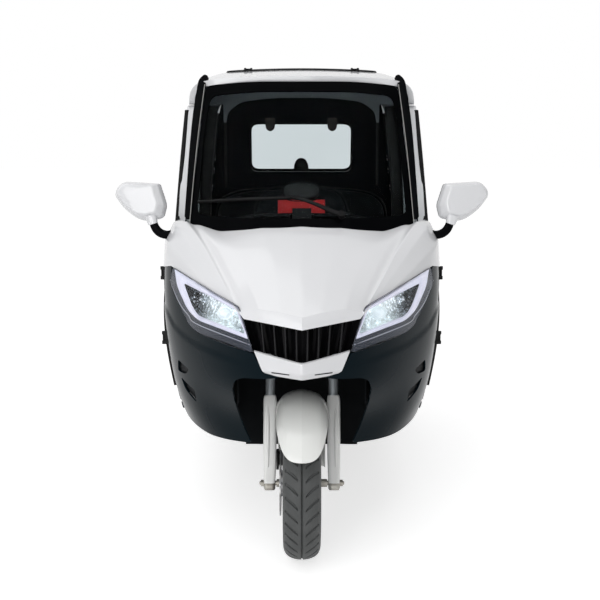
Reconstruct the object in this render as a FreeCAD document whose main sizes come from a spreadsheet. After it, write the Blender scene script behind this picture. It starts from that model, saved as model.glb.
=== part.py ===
"""Three-wheeled cabin car: one steered front wheel in a leading fork, two rear wheels on a solid axle.

Millimetres. +Z is up, the nose points to -Y. Shapes are drawn with Y = 0 at the front axle, and every
piece is then set back by the same amount, so that the origin lies on the floor below the middle of the car.
"""
import FreeCAD, Part

import math
import os

import Sketcher
from FreeCAD import Placement, Rotation, Vector

doc = FreeCAD.newDocument("cabin_car")

# Driving sizes: name, value. Lengths are in millimetres and angles in degrees.
SIZES = [
    ("wheelbase", 1620),
    ("front_overhang", 272),
    ("rear_overhang", 432),
    ("rear_track", 860),
    ("tyre_radius", 244),
    ("tyre_width", 120),
    ("tyre_shoulder", 22),
    ("rim_radius", 152),
    ("rim_width", 88),
    ("rim_wall", 6),
    ("hub_radius", 34),
    ("spoke_width", 30),
    ("spoke_count", 5),
    ("disc_radius", 105),
    ("disc_thick", 4),
    ("disc_offset", 70),
    ("axle_radius", 8),
    ("rake", 24),
    ("fork_offset", 35),
    ("fork_half_spacing", 106),
    ("fork_tube_radius", 14),
    ("fork_leg_width", 44),
    ("fork_leg_depth", 56),
    ("fork_leg_top", 285),
    ("yoke_low", 478),
    ("yoke_thick", 34),
    ("head_length", 180),
    ("head_radius", 27),
    ("stem_radius", 15),
    ("bar_height", 940),
    ("bar_radius", 11),
    ("bar_half_width", 285),
    ("bar_pullback", 145),
    ("grip_radius", 16),
    ("fender_radius", 308),
    ("fender_half_width", 84),
    ("fender_thick", 4),
    ("panel_thick", 6),
    ("door_thick", 30),
    ("roof_thick", 22),
    ("side_flare", 24),
    ("side_tuck", 20),
    ("panel_gap", 0.6),
    ("pin_gap", 0.3),
    ("move_gap", 5),
    ("glass_thick", 5),
    ("floor_top", 352),
    ("floor_thick", 6),
    ("rail_width", 40),
    ("rail_height", 50),
    ("rail_half_spacing", 250),
    ("rail_kick", 62),
    ("cabin_tail", 285),
    ("bumper_proud", 12),
    ("door_front", 457),
    ("door_post", 105),
    ("door_bottom", 400),
    ("side_top", 1490),
    ("arch_radius", 300),
    ("seat_width", 440),
    ("seat_height", 650),
    ("bench_width", 860),
    ("seat_cushion", 107),
    ("bench_cushion", 90),
    ("deck_top", 600),
    ("deck_length", 605),
    ("battery_length", 400),
    ("battery_width", 400),
    ("sunroof_width", 600),
    ("sunroof_length", 520),
    ("sunroof_front", 880),
    ("rear_glass_half_width", 262),
    ("rear_glass_low", 1197),
    ("rear_glass_high", 1447),
    ("rear_glass_corner", 45),
    ("tow_eye_radius", 13),
]


class Size:
    """A number that remembers the sheet expression it came from, so that it can be bound to a property."""

    def __init__(self, value, text):
        self.value = float(value)
        self.text = text

    def __float__(self):
        return self.value

    def joined(self, other, sign, value):
        text = other.text if isinstance(other, Size) else repr(float(other))
        return Size(value, "(" + self.text + " " + sign + " " + text + ")")

    def __add__(self, other):
        return self.joined(other, "+", self.value + float(other))

    def __sub__(self, other):
        return self.joined(other, "-", self.value - float(other))

    def __mul__(self, other):
        return self.joined(other, "*", self.value * float(other))

    def __truediv__(self, other):
        return self.joined(other, "/", self.value / float(other))

    def __neg__(self):
        return Size(-self.value, "(-1 * " + self.text + ")")


sheet = doc.addObject("Spreadsheet::Sheet", "sizes")
for row, (alias, value) in enumerate(SIZES, start=1):
    sheet.set("A%d" % row, alias)
    sheet.set("B%d" % row, repr(value))
    sheet.setAlias("B%d" % row, alias)
doc.recompute()


def size(alias):
    """The named size, as a bound number."""
    return Size(sheet.get(alias), "sizes." + alias)


def mm(alias):
    """The named size, as a plain number."""
    return float(sheet.get(alias))


# The origin lies midway between the fender's tip and the bumper's rear face.
set_back = -(size("wheelbase") + size("rear_overhang") - size("front_overhang")) / 2
SET_BACK = Vector(0, float(set_back), 0)
kept = []

# Places along the car that follow the rear axle: the cabin's rear edge, the door's rear edge, the front of
# the deck over the axle, the driver's cushion and the furthest point of the rear skin.
cabin_rear = size("wheelbase") + size("cabin_tail")
door_rear = size("wheelbase") - size("arch_radius") - size("door_post")
deck_front = cabin_rear - size("deck_length")
seat_front = door_rear - 475
CABIN_REAR = float(cabin_rear)
DOOR_REAR = float(door_rear)
DECK_FRONT = float(deck_front)
TAIL = mm("wheelbase") + mm("rear_overhang") - mm("bumper_proud")

# How many flats stand for a smooth curve round the nose or tail, over the roof, and down a side.
WRAP_FLATS = 12
ROOF_FLATS = 12
SIDE_FLATS = 10


def keep(obj, placement=Placement()):
    """Sets a finished sub-part at its place in the car and lists it for the output."""
    obj.Placement = Placement(SET_BACK, Rotation()) * placement
    kept.append(obj)
    return obj


def feature(label, shape, placement=Placement()):
    """A sub-part whose shape comes from Part's own functions."""
    obj = doc.addObject("Part::Feature", label)
    obj.Label = label
    obj.Shape = shape
    return keep(obj, placement)


def polygon_face(points):
    """A flat face from corner points."""
    return Part.Face(Part.makePolygon(list(points) + [points[0]]))


def front_prism(outline, start=-600.0, end=600.0):
    """The outline (x, z), seen from the front, carried from start to end along Y."""
    face = polygon_face([Vector(x, start, z) for x, z in outline])
    return face.extrude(Vector(0, end - start, 0))


def side_prism(outline, start=-800.0, end=800.0):
    """The outline (y, z), seen from the side, carried from start to end along X."""
    face = polygon_face([Vector(start, y, z) for y, z in outline])
    return face.extrude(Vector(end - start, 0, 0))


def plan_prism(outline, start=0.0, end=2000.0):
    """The outline (x, y), seen from above, carried from start to end along Z."""
    face = polygon_face([Vector(x, y, start) for x, y in outline])
    return face.extrude(Vector(0, 0, end - start))


def block(low, high):
    """A box between two corners."""
    lo = Vector(*low)
    hi = Vector(*high)
    return Part.makeBox(hi.x - lo.x, hi.y - lo.y, hi.z - lo.z, lo)


def rod(start, end, radius):
    """A round bar between two points."""
    a = Vector(*start)
    b = Vector(*end)
    return Part.makeCylinder(radius, (b - a).Length, a, b - a)


def fused(shapes):
    """One solid from several that touch."""
    shapes = list(shapes)
    return shapes[0].multiFuse(shapes[1:]).removeSplitter()


def mirrored(shape):
    """The same shape on the other side of the car."""
    return shape.mirror(Vector(0, 0, 0), Vector(1, 0, 0))


def pair(shape):
    """The shape and its mirror image, as solids of one piece."""
    return Part.makeCompound(shape.Solids + mirrored(shape).Solids)


def both_sides(half):
    """An outline's right half (x, z), from top centre to bottom centre, closed by its mirror image."""
    left = [(-x, z) for x, z in reversed(half) if x > 0]
    return list(half) + left


def curve(points):
    """A smooth curve through the points."""
    line = Part.BSplineCurve()
    line.interpolate(points)
    return line


def flats(points, count):
    """Places along the smooth curve through the points, where its flats meet, with the curve's own normals.
    The normals lie in the curve's plane, to the left of its direction."""
    line = curve(points)
    places = line.discretize(Number=count + 1)
    tangents = [line.tangent(line.parameter(p))[0] for p in places]
    return places, tangents


def closed_wire(outer, inner):
    """A closed wire along one row of points and back along another."""
    loop = list(outer) + list(reversed(inner))
    return Part.makePolygon(loop + [loop[0]])


def across(half):
    """A right half of (across, along) points, completed by its mirror image, from left to right."""
    return [(-a, b) for a, b in reversed(half[1:])] + list(half)


def wrap(levels, near, far, turn=1):
    """A skin that goes round the nose, or round the tail with turn -1. Each level is a height and the right
    half of its plan curve from the middle out. near and far are the depths of its two faces behind the curve."""
    wires = []
    for z, half in levels:
        points = [Vector(x * turn, y, z) for x, y in across(half)]
        places, tangents = flats(points, WRAP_FLATS)
        inwards = [Vector(-t.y, t.x, 0) for t in tangents]
        outer = [p + n * near for p, n in zip(places, inwards)]
        inner = [p + n * far for p, n in zip(places, inwards)]
        wires.append(closed_wire(outer, inner))
    return Part.makeLoft(wires, True, True)


# Wheels. A cast five-spoke rim with its tyre, turned about X.
def plane_of(body, role):
    """One of the body's own origin planes or axes."""
    return [f for f in body.Origin.OriginFeatures if f.Role == role][0]


def body_sketch(body, name, role, corners):
    """A closed sketch on one of the body's origin planes. Each corner is a pair of bound sizes."""
    sketch = body.newObject("Sketcher::SketchObject", name)
    sketch.AttachmentSupport = (plane_of(body, role), [""])
    sketch.MapMode = "FlatFace"
    count = len(corners)
    places = [Vector(float(a), float(b), 0) for a, b in corners]
    for i in range(count):
        sketch.addGeometry(Part.LineSegment(places[i], places[(i + 1) % count]), False)
    for i in range(count):
        sketch.addConstraint(Sketcher.Constraint("Coincident", i, 2, (i + 1) % count, 1))
    for i, (a, b) in enumerate(corners):
        for letter, kind, number in (("a", "DistanceX", a), ("b", "DistanceY", b)):
            index = sketch.addConstraint(Sketcher.Constraint(kind, -1, 1, i, 1, float(number)))
            sketch.renameConstraint(index, letter + str(i))
            if isinstance(number, Size):
                sketch.setExpression("Constraints." + letter + str(i), number.text)
    return sketch


def tyre_profile():
    """Section of a tubeless scooter tyre: upright walls, bevelled shoulders and a flat crown."""
    width = size("tyre_width")
    radius = size("tyre_radius")
    bead = size("rim_radius") + size("pin_gap")
    shoulder = size("tyre_shoulder")
    foot = size("rim_width") / 2 - size("rim_wall") - size("pin_gap")
    half = [
        (foot, bead),
        (foot, bead + 16),
        (width / 2, bead + 16),
        (width / 2, radius - shoulder),
        (width / 2 - shoulder, radius),
    ]
    return half + [(-a, b) for a, b in reversed(half)]


def tyre(label, placement):
    """A tyre turned about X."""
    body = doc.addObject("PartDesign::Body", label)
    body.Label = label
    turned(body, label + "_turn", tyre_profile())
    return keep(body, placement)


# How far the hub reaches to each side of the wheel's middle, and how thick the spokes are.
HUB_HALF = 52
SPOKE_THICK = 28


def turned(body, name, profile):
    """Adds a ring about X to the body, from a closed profile of (x, radius) bound sizes."""
    sketch = body_sketch(body, name + "_profile", "XY_Plane", profile)
    turn = body.newObject("PartDesign::Revolution", name)
    turn.Profile = sketch
    turn.ReferenceAxis = (sketch, ["H_Axis"])
    turn.Angle = 360
    sketch.Visibility = False
    return turn


def padded(body, name, role, corners, length):
    """Adds a plate to the body, padded both ways from a closed outline on one of its origin planes."""
    sketch = body_sketch(body, name + "_outline", role, corners)
    pad = body.newObject("PartDesign::Pad", name)
    pad.Profile = sketch
    pad.SideType = "Symmetric"
    pad.Length = float(length)
    if isinstance(length, Size):
        pad.setExpression("Length", length.text)
    sketch.Visibility = False
    return pad


def side_body(label, corners, width):
    """A body whose outline (y, z) is seen from the side, as wide as given, about the car's middle."""
    body = doc.addObject("PartDesign::Body", label)
    body.Label = label
    padded(body, label + "_pad", "YZ_Plane", corners, width)
    return keep(body)


def rim(label, placement, with_disc):
    """Barrel with a flange at each bead, a hub tube and five spokes, with a brake disc on the front wheel."""
    body = doc.addObject("PartDesign::Body", label)
    body.Label = label
    half = size("rim_width") / 2
    wall = size("rim_wall")
    seat = size("rim_radius")
    flange = seat + 12
    bore = size("axle_radius") + size("pin_gap")
    hub = size("hub_radius")
    turned(body, label + "_barrel", [
        (-half, flange), (-half + wall, flange), (-half + wall, seat), (half - wall, seat),
        (half - wall, flange), (half, flange), (half, seat - wall), (-half, seat - wall),
    ])
    turned(body, label + "_hub", [(Size(-HUB_HALF, str(-HUB_HALF)), bore), (Size(-HUB_HALF, str(-HUB_HALF)), hub),
                                  (Size(HUB_HALF, str(HUB_HALF)), hub), (Size(HUB_HALF, str(HUB_HALF)), bore)])
    root = hub - 6
    reach = seat - wall / 2
    wide = size("spoke_width") * 0.62
    waist = size("spoke_width") * 0.42
    spoke = padded(body, label + "_spoke", "YZ_Plane", [
        (-wide, root), (wide, root), (waist, reach * 0.6), (wide, reach), (-wide, reach), (-waist, reach * 0.6),
    ], SPOKE_THICK)
    around = body.newObject("PartDesign::PolarPattern", label + "_spokes")
    around.Originals = [spoke]
    around.Axis = (plane_of(body, "X_Axis"), [""])
    around.Angle = 360
    around.Occurrences = int(mm("spoke_count"))
    around.setExpression("Occurrences", "sizes.spoke_count")
    body.Tip = around
    if with_disc:
        offset = size("disc_offset")
        far = -offset - size("disc_thick") / 2
        near = -offset + size("disc_thick") / 2
        turned(body, label + "_disc", [
            (far, bore), (far, size("disc_radius")), (near, size("disc_radius")), (near, hub + 6),
            (Size(-HUB_HALF + 2, str(-HUB_HALF + 2)), hub + 6), (Size(-HUB_HALF + 2, str(-HUB_HALF + 2)), bore),
        ])
    return keep(body, placement)


front_axle = Placement(Vector(0, 0, mm("tyre_radius")), Rotation())
tyre("front_tyre", front_axle)
rim("front_rim", front_axle, True)
for side, sign in (("left", -1), ("right", 1)):
    place = Placement(Vector(sign * mm("rear_track") / 2, mm("wheelbase"), mm("tyre_radius")), Rotation())
    tyre("rear_tyre_" + side, place)
    rim("rear_rim_" + side, place, False)


# Front fork. Drawn upright with its own Z along the steering axis, then leaned back by the rake.
fork_place = Placement(Vector(0, 0, mm("tyre_radius")), Rotation(Vector(1, 0, 0), -mm("rake")))


def caliper():
    """Brake caliper behind the picture's left leg: a block that straddles the disc's rim."""
    wall = mm("fork_half_spacing") - mm("fork_leg_width") / 2
    offset = mm("disc_offset")
    whole = block((-wall - 2, 8, 48), (-offset + 15, 84, 112))
    slot = Part.makeCylinder(mm("disc_radius") + mm("move_gap"), mm("disc_thick") + 10,
                             Vector(-offset - mm("disc_thick") / 2 - 5, 0, 0), Vector(1, 0, 0))
    return whole.cut(slot)


def fork_legs():
    """Two moulded lower legs with the wheel spindle, its spacers and nuts, and the brake caliper."""
    x = mm("fork_half_spacing")
    half_w = mm("fork_leg_width") / 2
    half_d = mm("fork_leg_depth") / 2
    top = mm("fork_leg_top")
    outline = [
        (-half_d * 0.62, -26),
        (half_d * 0.62, -26),
        (half_d * 0.8, 10),
        (half_d, 150),
        (half_d, top - 26),
        (half_d * 0.7, top),
        (-half_d * 0.7, top),
        (-half_d, top - 30),
        (-half_d, 120),
        (-half_d * 0.8, 10),
    ]
    leg = side_prism(outline, x - half_w, x + half_w)
    socket = Part.makeCylinder(mm("fork_tube_radius") + mm("pin_gap"), top - 90, Vector(x, 0, 90))
    leg = leg.cut(socket)
    spindle_reach = x + half_w + 10
    spindle = Part.makeCylinder(mm("axle_radius"), 2 * spindle_reach, Vector(-spindle_reach, 0, 0), Vector(1, 0, 0))
    spacers = []
    for sign in (-1, 1):
        start = Vector(sign * (x - half_w), 0, 0)
        reach = x - half_w - 78
        spacers.append(Part.makeCylinder(13, reach, start, Vector(-sign, 0, 0)))
    nuts = []
    for sign in (-1, 1):
        hexagon = [
            Vector(sign * (x + half_w), 13 * math.cos(math.pi * k / 3), 13 * math.sin(math.pi * k / 3)) for k in range(6)
        ]
        nuts.append(polygon_face(hexagon).extrude(Vector(sign * 12, 0, 0)))
    return fused([leg, mirrored(leg), spindle, caliper()] + spacers + nuts)


feature("fork_legs", fork_legs(), fork_place)


def fork_yoke():
    """Lower yoke with its two stanchion tubes and the steering stem, one welded piece."""
    x = mm("fork_half_spacing")
    r = mm("fork_tube_radius")
    low = mm("yoke_low")
    thick = mm("yoke_thick")
    offset = mm("fork_offset")
    tubes = [Part.makeCylinder(r, low + thick - 110, Vector(s * x, 0, 110)) for s in (-1, 1)]
    outline = [
        (-x - r - 8, -r - 8),
        (x + r + 8, -r - 8),
        (x + r + 8, r + 6),
        (40, offset + 26),
        (-40, offset + 26),
        (-x - r - 8, r + 6),
    ]
    plate = plan_prism(outline, low, low + thick)
    stem = Part.makeCylinder(mm("stem_radius"), mm("bar_height") - low - 12, Vector(0, offset, low + 4))
    return fused(tubes + [plate, stem])


feature("fork_yoke", fork_yoke(), fork_place)


def front_fender():
    """Moulded fender: a creased roof section turned about the axle, its nose cut to a point."""
    crown = mm("fender_radius")
    thick = mm("fender_thick")
    half = mm("fender_half_width")
    section = [
        Vector(0, 0, crown),
        Vector(half * 0.84, 0, crown - 20),
        Vector(half, 0, crown - 58),
        Vector(half - thick, 0, crown - 58),
        Vector(half * 0.84 - thick, 0, crown - 20 - thick),
        Vector(0, 0, crown - thick),
    ]
    face = polygon_face(section)
    face.rotate(Vector(0, 0, 0), Vector(1, 0, 0), -100)
    shell = face.revolve(Vector(0, 0, 0), Vector(1, 0, 0), 158)
    axle = mm("tyre_radius")
    nose = [(0, 401), (69, 444), (91, 487), (140, 487), (140, 200), (0, 200)]
    nose = both_sides([(x, z - axle) for x, z in nose])
    return fused([shell, mirrored(shell)]).cut(front_prism(nose, -600, 0))


def fender_with_brackets():
    """The fender and the lugs that seat it on the fork legs."""
    shell = front_fender()
    inner = mm("fork_half_spacing") - mm("fork_leg_width") / 2
    start = mm("fender_half_width") - 3
    reach = inner - mm("panel_gap") - start
    rake = math.radians(mm("rake"))
    height = 255
    y = height * math.sin(rake)
    z = height * math.cos(rake)
    lugs = [
        Part.makeCylinder(14, reach, Vector(sign * start, y, z), Vector(sign, 0, 0)) for sign in (-1, 1)
    ]
    return fused([shell] + lugs)


feature("front_fender", fender_with_brackets(), front_axle)


def handlebar():
    """Clamp on the stem, a bent bar, two grips and the brake levers."""
    height = mm("bar_height")
    offset = mm("fork_offset")
    r = mm("bar_radius")
    half = mm("bar_half_width")
    back = mm("bar_pullback")
    clamp = block((-34, offset - 24, height - 22), (34, offset + 30, height + 22))
    clamp = clamp.cut(Part.makeCylinder(mm("stem_radius") + mm("pin_gap"), 44.3, Vector(0, offset, height - 52)))
    rise = [(half, back, 20), (half * 0.5, back * 0.6, 30), (34, 8, 4)]
    pieces = [clamp]
    for sign in (-1, 1):
        places = [Vector(sign * x, offset + y, height + z) for x, y, z in rise]
        pieces.append(rod(places[1], places[2], r))
        pieces.append(rod(places[0], places[1], r))
        pieces.append(rod(places[0], places[0] + (places[1] - places[0]) * 0.8, mm("grip_radius")))
        x = sorted((sign * (half - 150), sign * (half - 112)))
        pieces.append(block((x[0], offset + back - 52, height + 8), (x[1], offset + back - 8, height + 50)))
        x = sorted((sign * (half - 125), sign * half))
        pieces.append(block((x[0], offset + back - 50, height + 18), (x[1], offset + back - 38, height + 26)))
    return fused(pieces)


feature("handlebar", handlebar(), fork_place)

# Front skin: the dark apron, lamps, chin and grille are cut from one wrapped surface.
FRONT_LEVELS = [
    (340, [(0, -40), (160, 46), (300, 176), (385, 322), (428, 470)]),
    (468, [(0, -96), (188, 2), (345, 136), (433, 306), (466, 470)]),
    (596, [(0, -200), (200, -114), (366, 95), (458, 300), (485, 470)]),
    (724, [(0, -236), (204, -146), (379, 94), (473, 300), (497, 470)]),
    (852, [(0, -250), (208, -146), (386, 106), (478, 300), (500, 470)]),
    (980, [(0, -240), (214, -118), (392, 128), (474, 300), (492, 470)]),
]
HOOD_EDGE = [(0, 806), (176, 826), (209, 863), (330, 899), (445, 933), (480, 923), (560, 916)]
LAMP_OUTLINE = [(177, 826), (209, 862), (330, 898), (446, 931), (461, 888), (425, 815), (382, 750), (355, 733), (150, 727)]
GRILLE_OUTLINE = [(0, 806), (175, 825), (149, 731), (0, 715)]
CHIN_SIDE = [(143, 700), (115, 679), (81, 661)]
CHIN_OUTLINE = [(0, 715), (149, 731)] + CHIN_SIDE + [(0, 657)]
ARCH_OUTLINE = [(100, 645), (183, 636), (210, 620), (220, 591), (215, 519), (196, 433), (168, 367)]


# The apron's lower edge from the wheel's arch outwards, and its two recessed vents, each side alike.
LOWER_EDGE = [(254, 356), (320, 353), (376, 363), (422, 374), (441, 383), (600, 388), (600, 200), (0, 200)]
VENT_OUTLINES = [
    [(437, 578), (395, 535), (403, 520), (430, 532)],
    [(427, 505), (376, 452), (368, 420), (414, 468)],
]
VENT_DEPTH = 4


def shrunk(outline, distance):
    """The outline moved inwards by the distance, for a panel gap."""
    wire = Part.makePolygon([Vector(x, 0, z) for x, z in outline] + [Vector(outline[0][0], 0, outline[0][1])])
    moved = Part.Face(wire).makeOffset2D(-distance, 2)
    return [(v.Point.x, v.Point.z) for v in moved.OuterWire.OrderedVertexes]


def front_cowl():
    """Dark apron halves round the nose, cut out for the hood, the lamps, the grille, the chin and the wheel."""
    skin = wrap(FRONT_LEVELS, 0, mm("panel_thick"))
    opening = [(0, 1200), (560, 1200)] + list(reversed(HOOD_EDGE))[:3] + LAMP_OUTLINE[4:] + CHIN_SIDE + ARCH_OUTLINE
    opening += LOWER_EDGE
    skin = skin.cut(front_prism(both_sides(opening)))
    for outline in VENT_OUTLINES:
        recess = wrap(FRONT_LEVELS, -2, VENT_DEPTH).common(front_prism(outline))
        skin = skin.cut(recess).cut(mirrored(recess))
    return skin.cut(block((-600, mm("door_front") - mm("move_gap"), 0), (600, 900, 2000)))


feature("front_cowl", front_cowl())


def lamp(near, far):
    """One lamp's slice of the wrapped skin, between two depths."""
    outline = shrunk(LAMP_OUTLINE, mm("panel_gap") / 2)
    return wrap(FRONT_LEVELS, near, far).common(front_prism(outline))


feature("headlamp_lenses", pair(lamp(-1.0, 3.0)))
feature("headlamp_housings", pair(lamp(3.6, 46.0)))


def vee(point_y, side_x, side_y, depth):
    """Plan outline of a V-shaped band: its point on the centre line, its arms swept back."""
    return [(0, point_y), (side_x, side_y), (side_x, side_y + depth), (0, point_y + depth),
            (-side_x, side_y + depth), (-side_x, side_y)]


def nose_lip():
    """White chin below the grille: a V in plan with an undercut lower facet."""
    chin = front_prism(shrunk(both_sides(CHIN_OUTLINE), mm("panel_gap") / 2), -400, 0)
    chin = chin.common(plan_prism(vee(-mm("front_overhang"), 152, -190, 40), 600, 800))
    return chin.cut(side_prism([(-290, 690), (-272, 690), (-240, 650), (-290, 640)]))


feature("nose_lip", nose_lip())


def grille():
    """Black grille: a backing plate behind upright slats in a V."""
    opening = front_prism(shrunk(both_sides(GRILLE_OUTLINE), mm("panel_gap") / 2), -400, 0)
    plate = plan_prism(vee(-212, 180, -138, 5), 690, 850)
    slats = []
    pitch = 20
    for i in range(-8, 9):
        x = i * pitch
        y = -244 + abs(x) * 0.44
        slats.append(block((x - 2.5, y, 690), (x + 2.5, y + 34, 850)))
    rails = [plan_prism(vee(-244, 180, -165, 36), 690, 722), plan_prism(vee(-244, 180, -165, 36), 818, 850)]
    rails[0] = rails[0].cut(block((-200, -400, 735), (200, 0, 850)))
    return fused([plate] + slats).common(opening)


feature("grille", grille())

# Roof skin: each station is (y, right half of its section from the middle out).
ROOF_STATIONS = [
    (580, [(0, 1588), (200, 1584), (330, 1574), (385, 1548), (403, 1482)]),
    (912, [(0, 1632), (212, 1627), (342, 1609), (416, 1564), (443, 1482)]),
    (1244, [(0, 1648), (219, 1643), (349, 1622), (421, 1571), (452, 1482)]),
    (CABIN_REAR - 330, [(0, 1641), (219, 1636), (348, 1615), (420, 1566), (451, 1482)]),
    (CABIN_REAR, [(0, 1614), (210, 1609), (340, 1589), (410, 1548), (440, 1482)]),
]


def roof_band(near, far):
    """The roof's skin between two depths below its outer face, section by section along the car."""
    wires = []
    for y, half in ROOF_STATIONS:
        points = [Vector(x, y, z) for x, z in across(half)]
        places, tangents = flats(points, ROOF_FLATS)
        inwards = [Vector(t.z, 0, -t.x) for t in tangents]
        outer = [p + n * near for p, n in zip(places, inwards)]
        inner = [p + n * far for p, n in zip(places, inwards)]
        wires.append(closed_wire(outer, inner))
    return Part.makeLoft(wires, True, True)


# Windscreen surface: level curves, leaning back from the hood to the roof.
SCREEN_LEVELS = [
    (1000, [(0, 168), (210, 196), (440, 300)]),
    (1210, [(0, 311), (208, 332), (436, 418)]),
    (1420, [(0, 453), (204, 468), (430, 536)]),
    (1630, [(0, 594), (200, 605), (424, 660)]),
]
GLASS_OUTLINE = [(0, 1532), (170, 1530), (331, 1516), (349, 1400), (356, 1250), (365, 1100), (180, 1094), (0, 1096)]
SCREEN_OUTLINE = [(0, 1570), (200, 1566), (352, 1552), (372, 1320), (388, 1060), (388, 1036), (0, 1036)]
TRIM_OUTLINE = [(353, 1604), (372, 1602), (391, 1575), (406, 1440), (415, 1315), (420, 1121), (421, 1086),
                (387, 1086), (386, 1100), (374, 1320), (354, 1553)]


def screen_band(near, far):
    """The windscreen's surface given thickness, between two depths behind its outer face."""
    return wrap(SCREEN_LEVELS, near, far)


def windscreen():
    return screen_band(0, mm("glass_thick")).common(front_prism(both_sides(GLASS_OUTLINE), -200, 900))


def windscreen_frame():
    """Black surround that holds the glass."""
    ring_band = screen_band(-1.0, mm("glass_thick") + 9).common(front_prism(both_sides(SCREEN_OUTLINE), -200, 900))
    wider = shrunk(both_sides(GLASS_OUTLINE), -mm("pin_gap"))
    return ring_band.cut(front_prism(wider, -200, 900)).cut(roof_band(-mm("pin_gap"), 80))


feature("windscreen", windscreen())
feature("windscreen_frame", windscreen_frame())

def sunroof_outline(grow):
    """Plan of the sunroof, grown outwards, with cut corners."""
    x = mm("sunroof_width") / 2 + grow
    y0 = mm("sunroof_front") - grow
    y1 = mm("sunroof_front") + mm("sunroof_length") + grow
    c = 30
    return [(-x + c, y0), (x - c, y0), (x, y0 + c), (x, y1 - c), (x - c, y1), (-x + c, y1), (-x, y1 - c), (-x, y0 + c)]


def roof():
    """White roof skin with the sunroof's opening."""
    shell = roof_band(0, mm("roof_thick")).common(block((-600, 500, mm("side_top")), (600, CABIN_REAR + 50, 1800)))
    shell = shell.cut(plan_prism(sunroof_outline(mm("move_gap")), 1400, 1800))
    return shell


feature("roof", roof())


# Radial play of every hinge pin.
HINGE_FIT = 0.05


def cross_hinge(centre, reach, fixed):
    """Half of a small hinge whose pin lies along X: the middle barrel, or with fixed the pin and its end barrels.
    reach is the corner of the foot that ties the barrels to what carries them."""
    half = GLASS_HINGE_HALF
    if fixed:
        spans = ((-2 * half, half), (half, half))
        parts = [Part.makeCylinder(GLASS_PIN, 4 * half, centre - Vector(2 * half, 0, 0), Vector(1, 0, 0))]
    else:
        spans = ((-half + mm("pin_gap"), 2 * (half - mm("pin_gap"))),)
        parts = []
    for start, length in spans:
        at = centre + Vector(start, 0, 0)
        parts.append(Part.makeCylinder(GLASS_BARREL, length, at, Vector(1, 0, 0)))
        y = sorted((centre.y, reach.y))
        z = sorted((centre.z, reach.z))
        parts.append(block((at.x, y[0], z[0]), (at.x + length, y[1], z[1])))
    whole = fused(parts)
    if fixed:
        return whole
    bore = Part.makeCylinder(GLASS_PIN + HINGE_FIT, 6 * half, centre - Vector(3 * half, 0, 0), Vector(1, 0, 0))
    return whole.cut(bore)


# Hinges of the sunroof and of the rear window.
GLASS_BARREL = 5
GLASS_PIN = 2.5
GLASS_HINGE_HALF = 8
SUNROOF_HINGE = Vector(210, mm("sunroof_front") - mm("move_gap") / 2, 1632)
HATCH_HINGE = Vector(157, CABIN_REAR + 1 + 0.515 * (TAIL - CABIN_REAR - 1), mm("rear_glass_high") + 2.5)


def sunroof():
    """Tilting glass panel, hinged at its front edge by two lugs."""
    panel = roof_band(0, mm("panel_thick")).common(plan_prism(sunroof_outline(0), 1400, 1800))
    lug = cross_hinge(SUNROOF_HINGE, SUNROOF_HINGE + Vector(0, 26, -10), False)
    return fused([panel, lug, mirrored(lug)])


feature("sunroof", sunroof())

# Side section (x, z) at the cowl's rear edge, from the sill up. The door flares out and the quarter tucks in.
SIDE_SECTION = [(402, 270), (456, 425), (479, 580), (494, 735), (498, 890), (476, 1045), (456, 1200), (441, 1345),
                (426, 1490)]


def side_band(near, far, tail=False):
    """The right-hand side of the body between two depths inwards from its outer face: the door's length,
    or with tail the quarter's, each straight along its own slant."""
    cowl_end = mm("door_front") - mm("move_gap")
    post = DOOR_REAR + mm("move_gap")
    start, end = (post, CABIN_REAR) if tail else (cowl_end, post)
    offset = mm("side_flare") if tail else 0
    slant = -mm("side_tuck") if tail else mm("side_flare")
    places, tangents = flats([Vector(x + offset, start, z) for x, z in SIDE_SECTION], SIDE_FLATS)
    outer = [p - Vector(near, 0, 0) for p in places]
    inner = [p - Vector(far, 0, 0) for p in places]
    return Part.Face(closed_wire(outer, inner)).extrude(Vector(slant, end - start, 0))


def door_outline(grow):
    """Side view of the door: upright front edge below the waist, leaning with the windscreen above it."""
    front = mm("door_front") - grow
    rear = DOOR_REAR + grow
    low = mm("door_bottom") - grow
    top = mm("side_top") - mm("move_gap") + grow
    return [(front, low), (front, 1046), (front + 12, 1072), (640 - grow, top), (rear, top), (rear, low)]


def window_outline(grow):
    """Side view of the door's window."""
    rear = DOOR_REAR - 62 + grow
    return [(532 - grow, 1060 - grow), (544 - grow, 1092), (684 - grow, 1428 + grow), (rear, 1428 + grow), (rear, 1000 - grow), (600, 1000 - grow)]


def door():
    """Door skin and frame, as thick as the whole door, with its window cut."""
    slab = side_band(0, mm("door_thick")).common(side_prism(door_outline(0), 0, 800))
    slab = slab.cut(side_prism(window_outline(0), 0, 800))
    return fused([slab] + door_knuckles())


def door_glass():
    middle = mm("door_thick") / 2
    return side_band(middle - 2, middle + 2).common(side_prism(window_outline(-mm("panel_gap")), 0, 800))


# Door hinges: two outside barrels a side, on a pin in the gap between the cowl and the door.
HINGE_HEIGHTS = (640, 880)
HINGE_AXIS = Vector(508, mm("door_front") - mm("move_gap") / 2, 0)
HINGE_BARREL = 6
HINGE_PIN = 3.5
HINGE_HALF = 12


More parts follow.
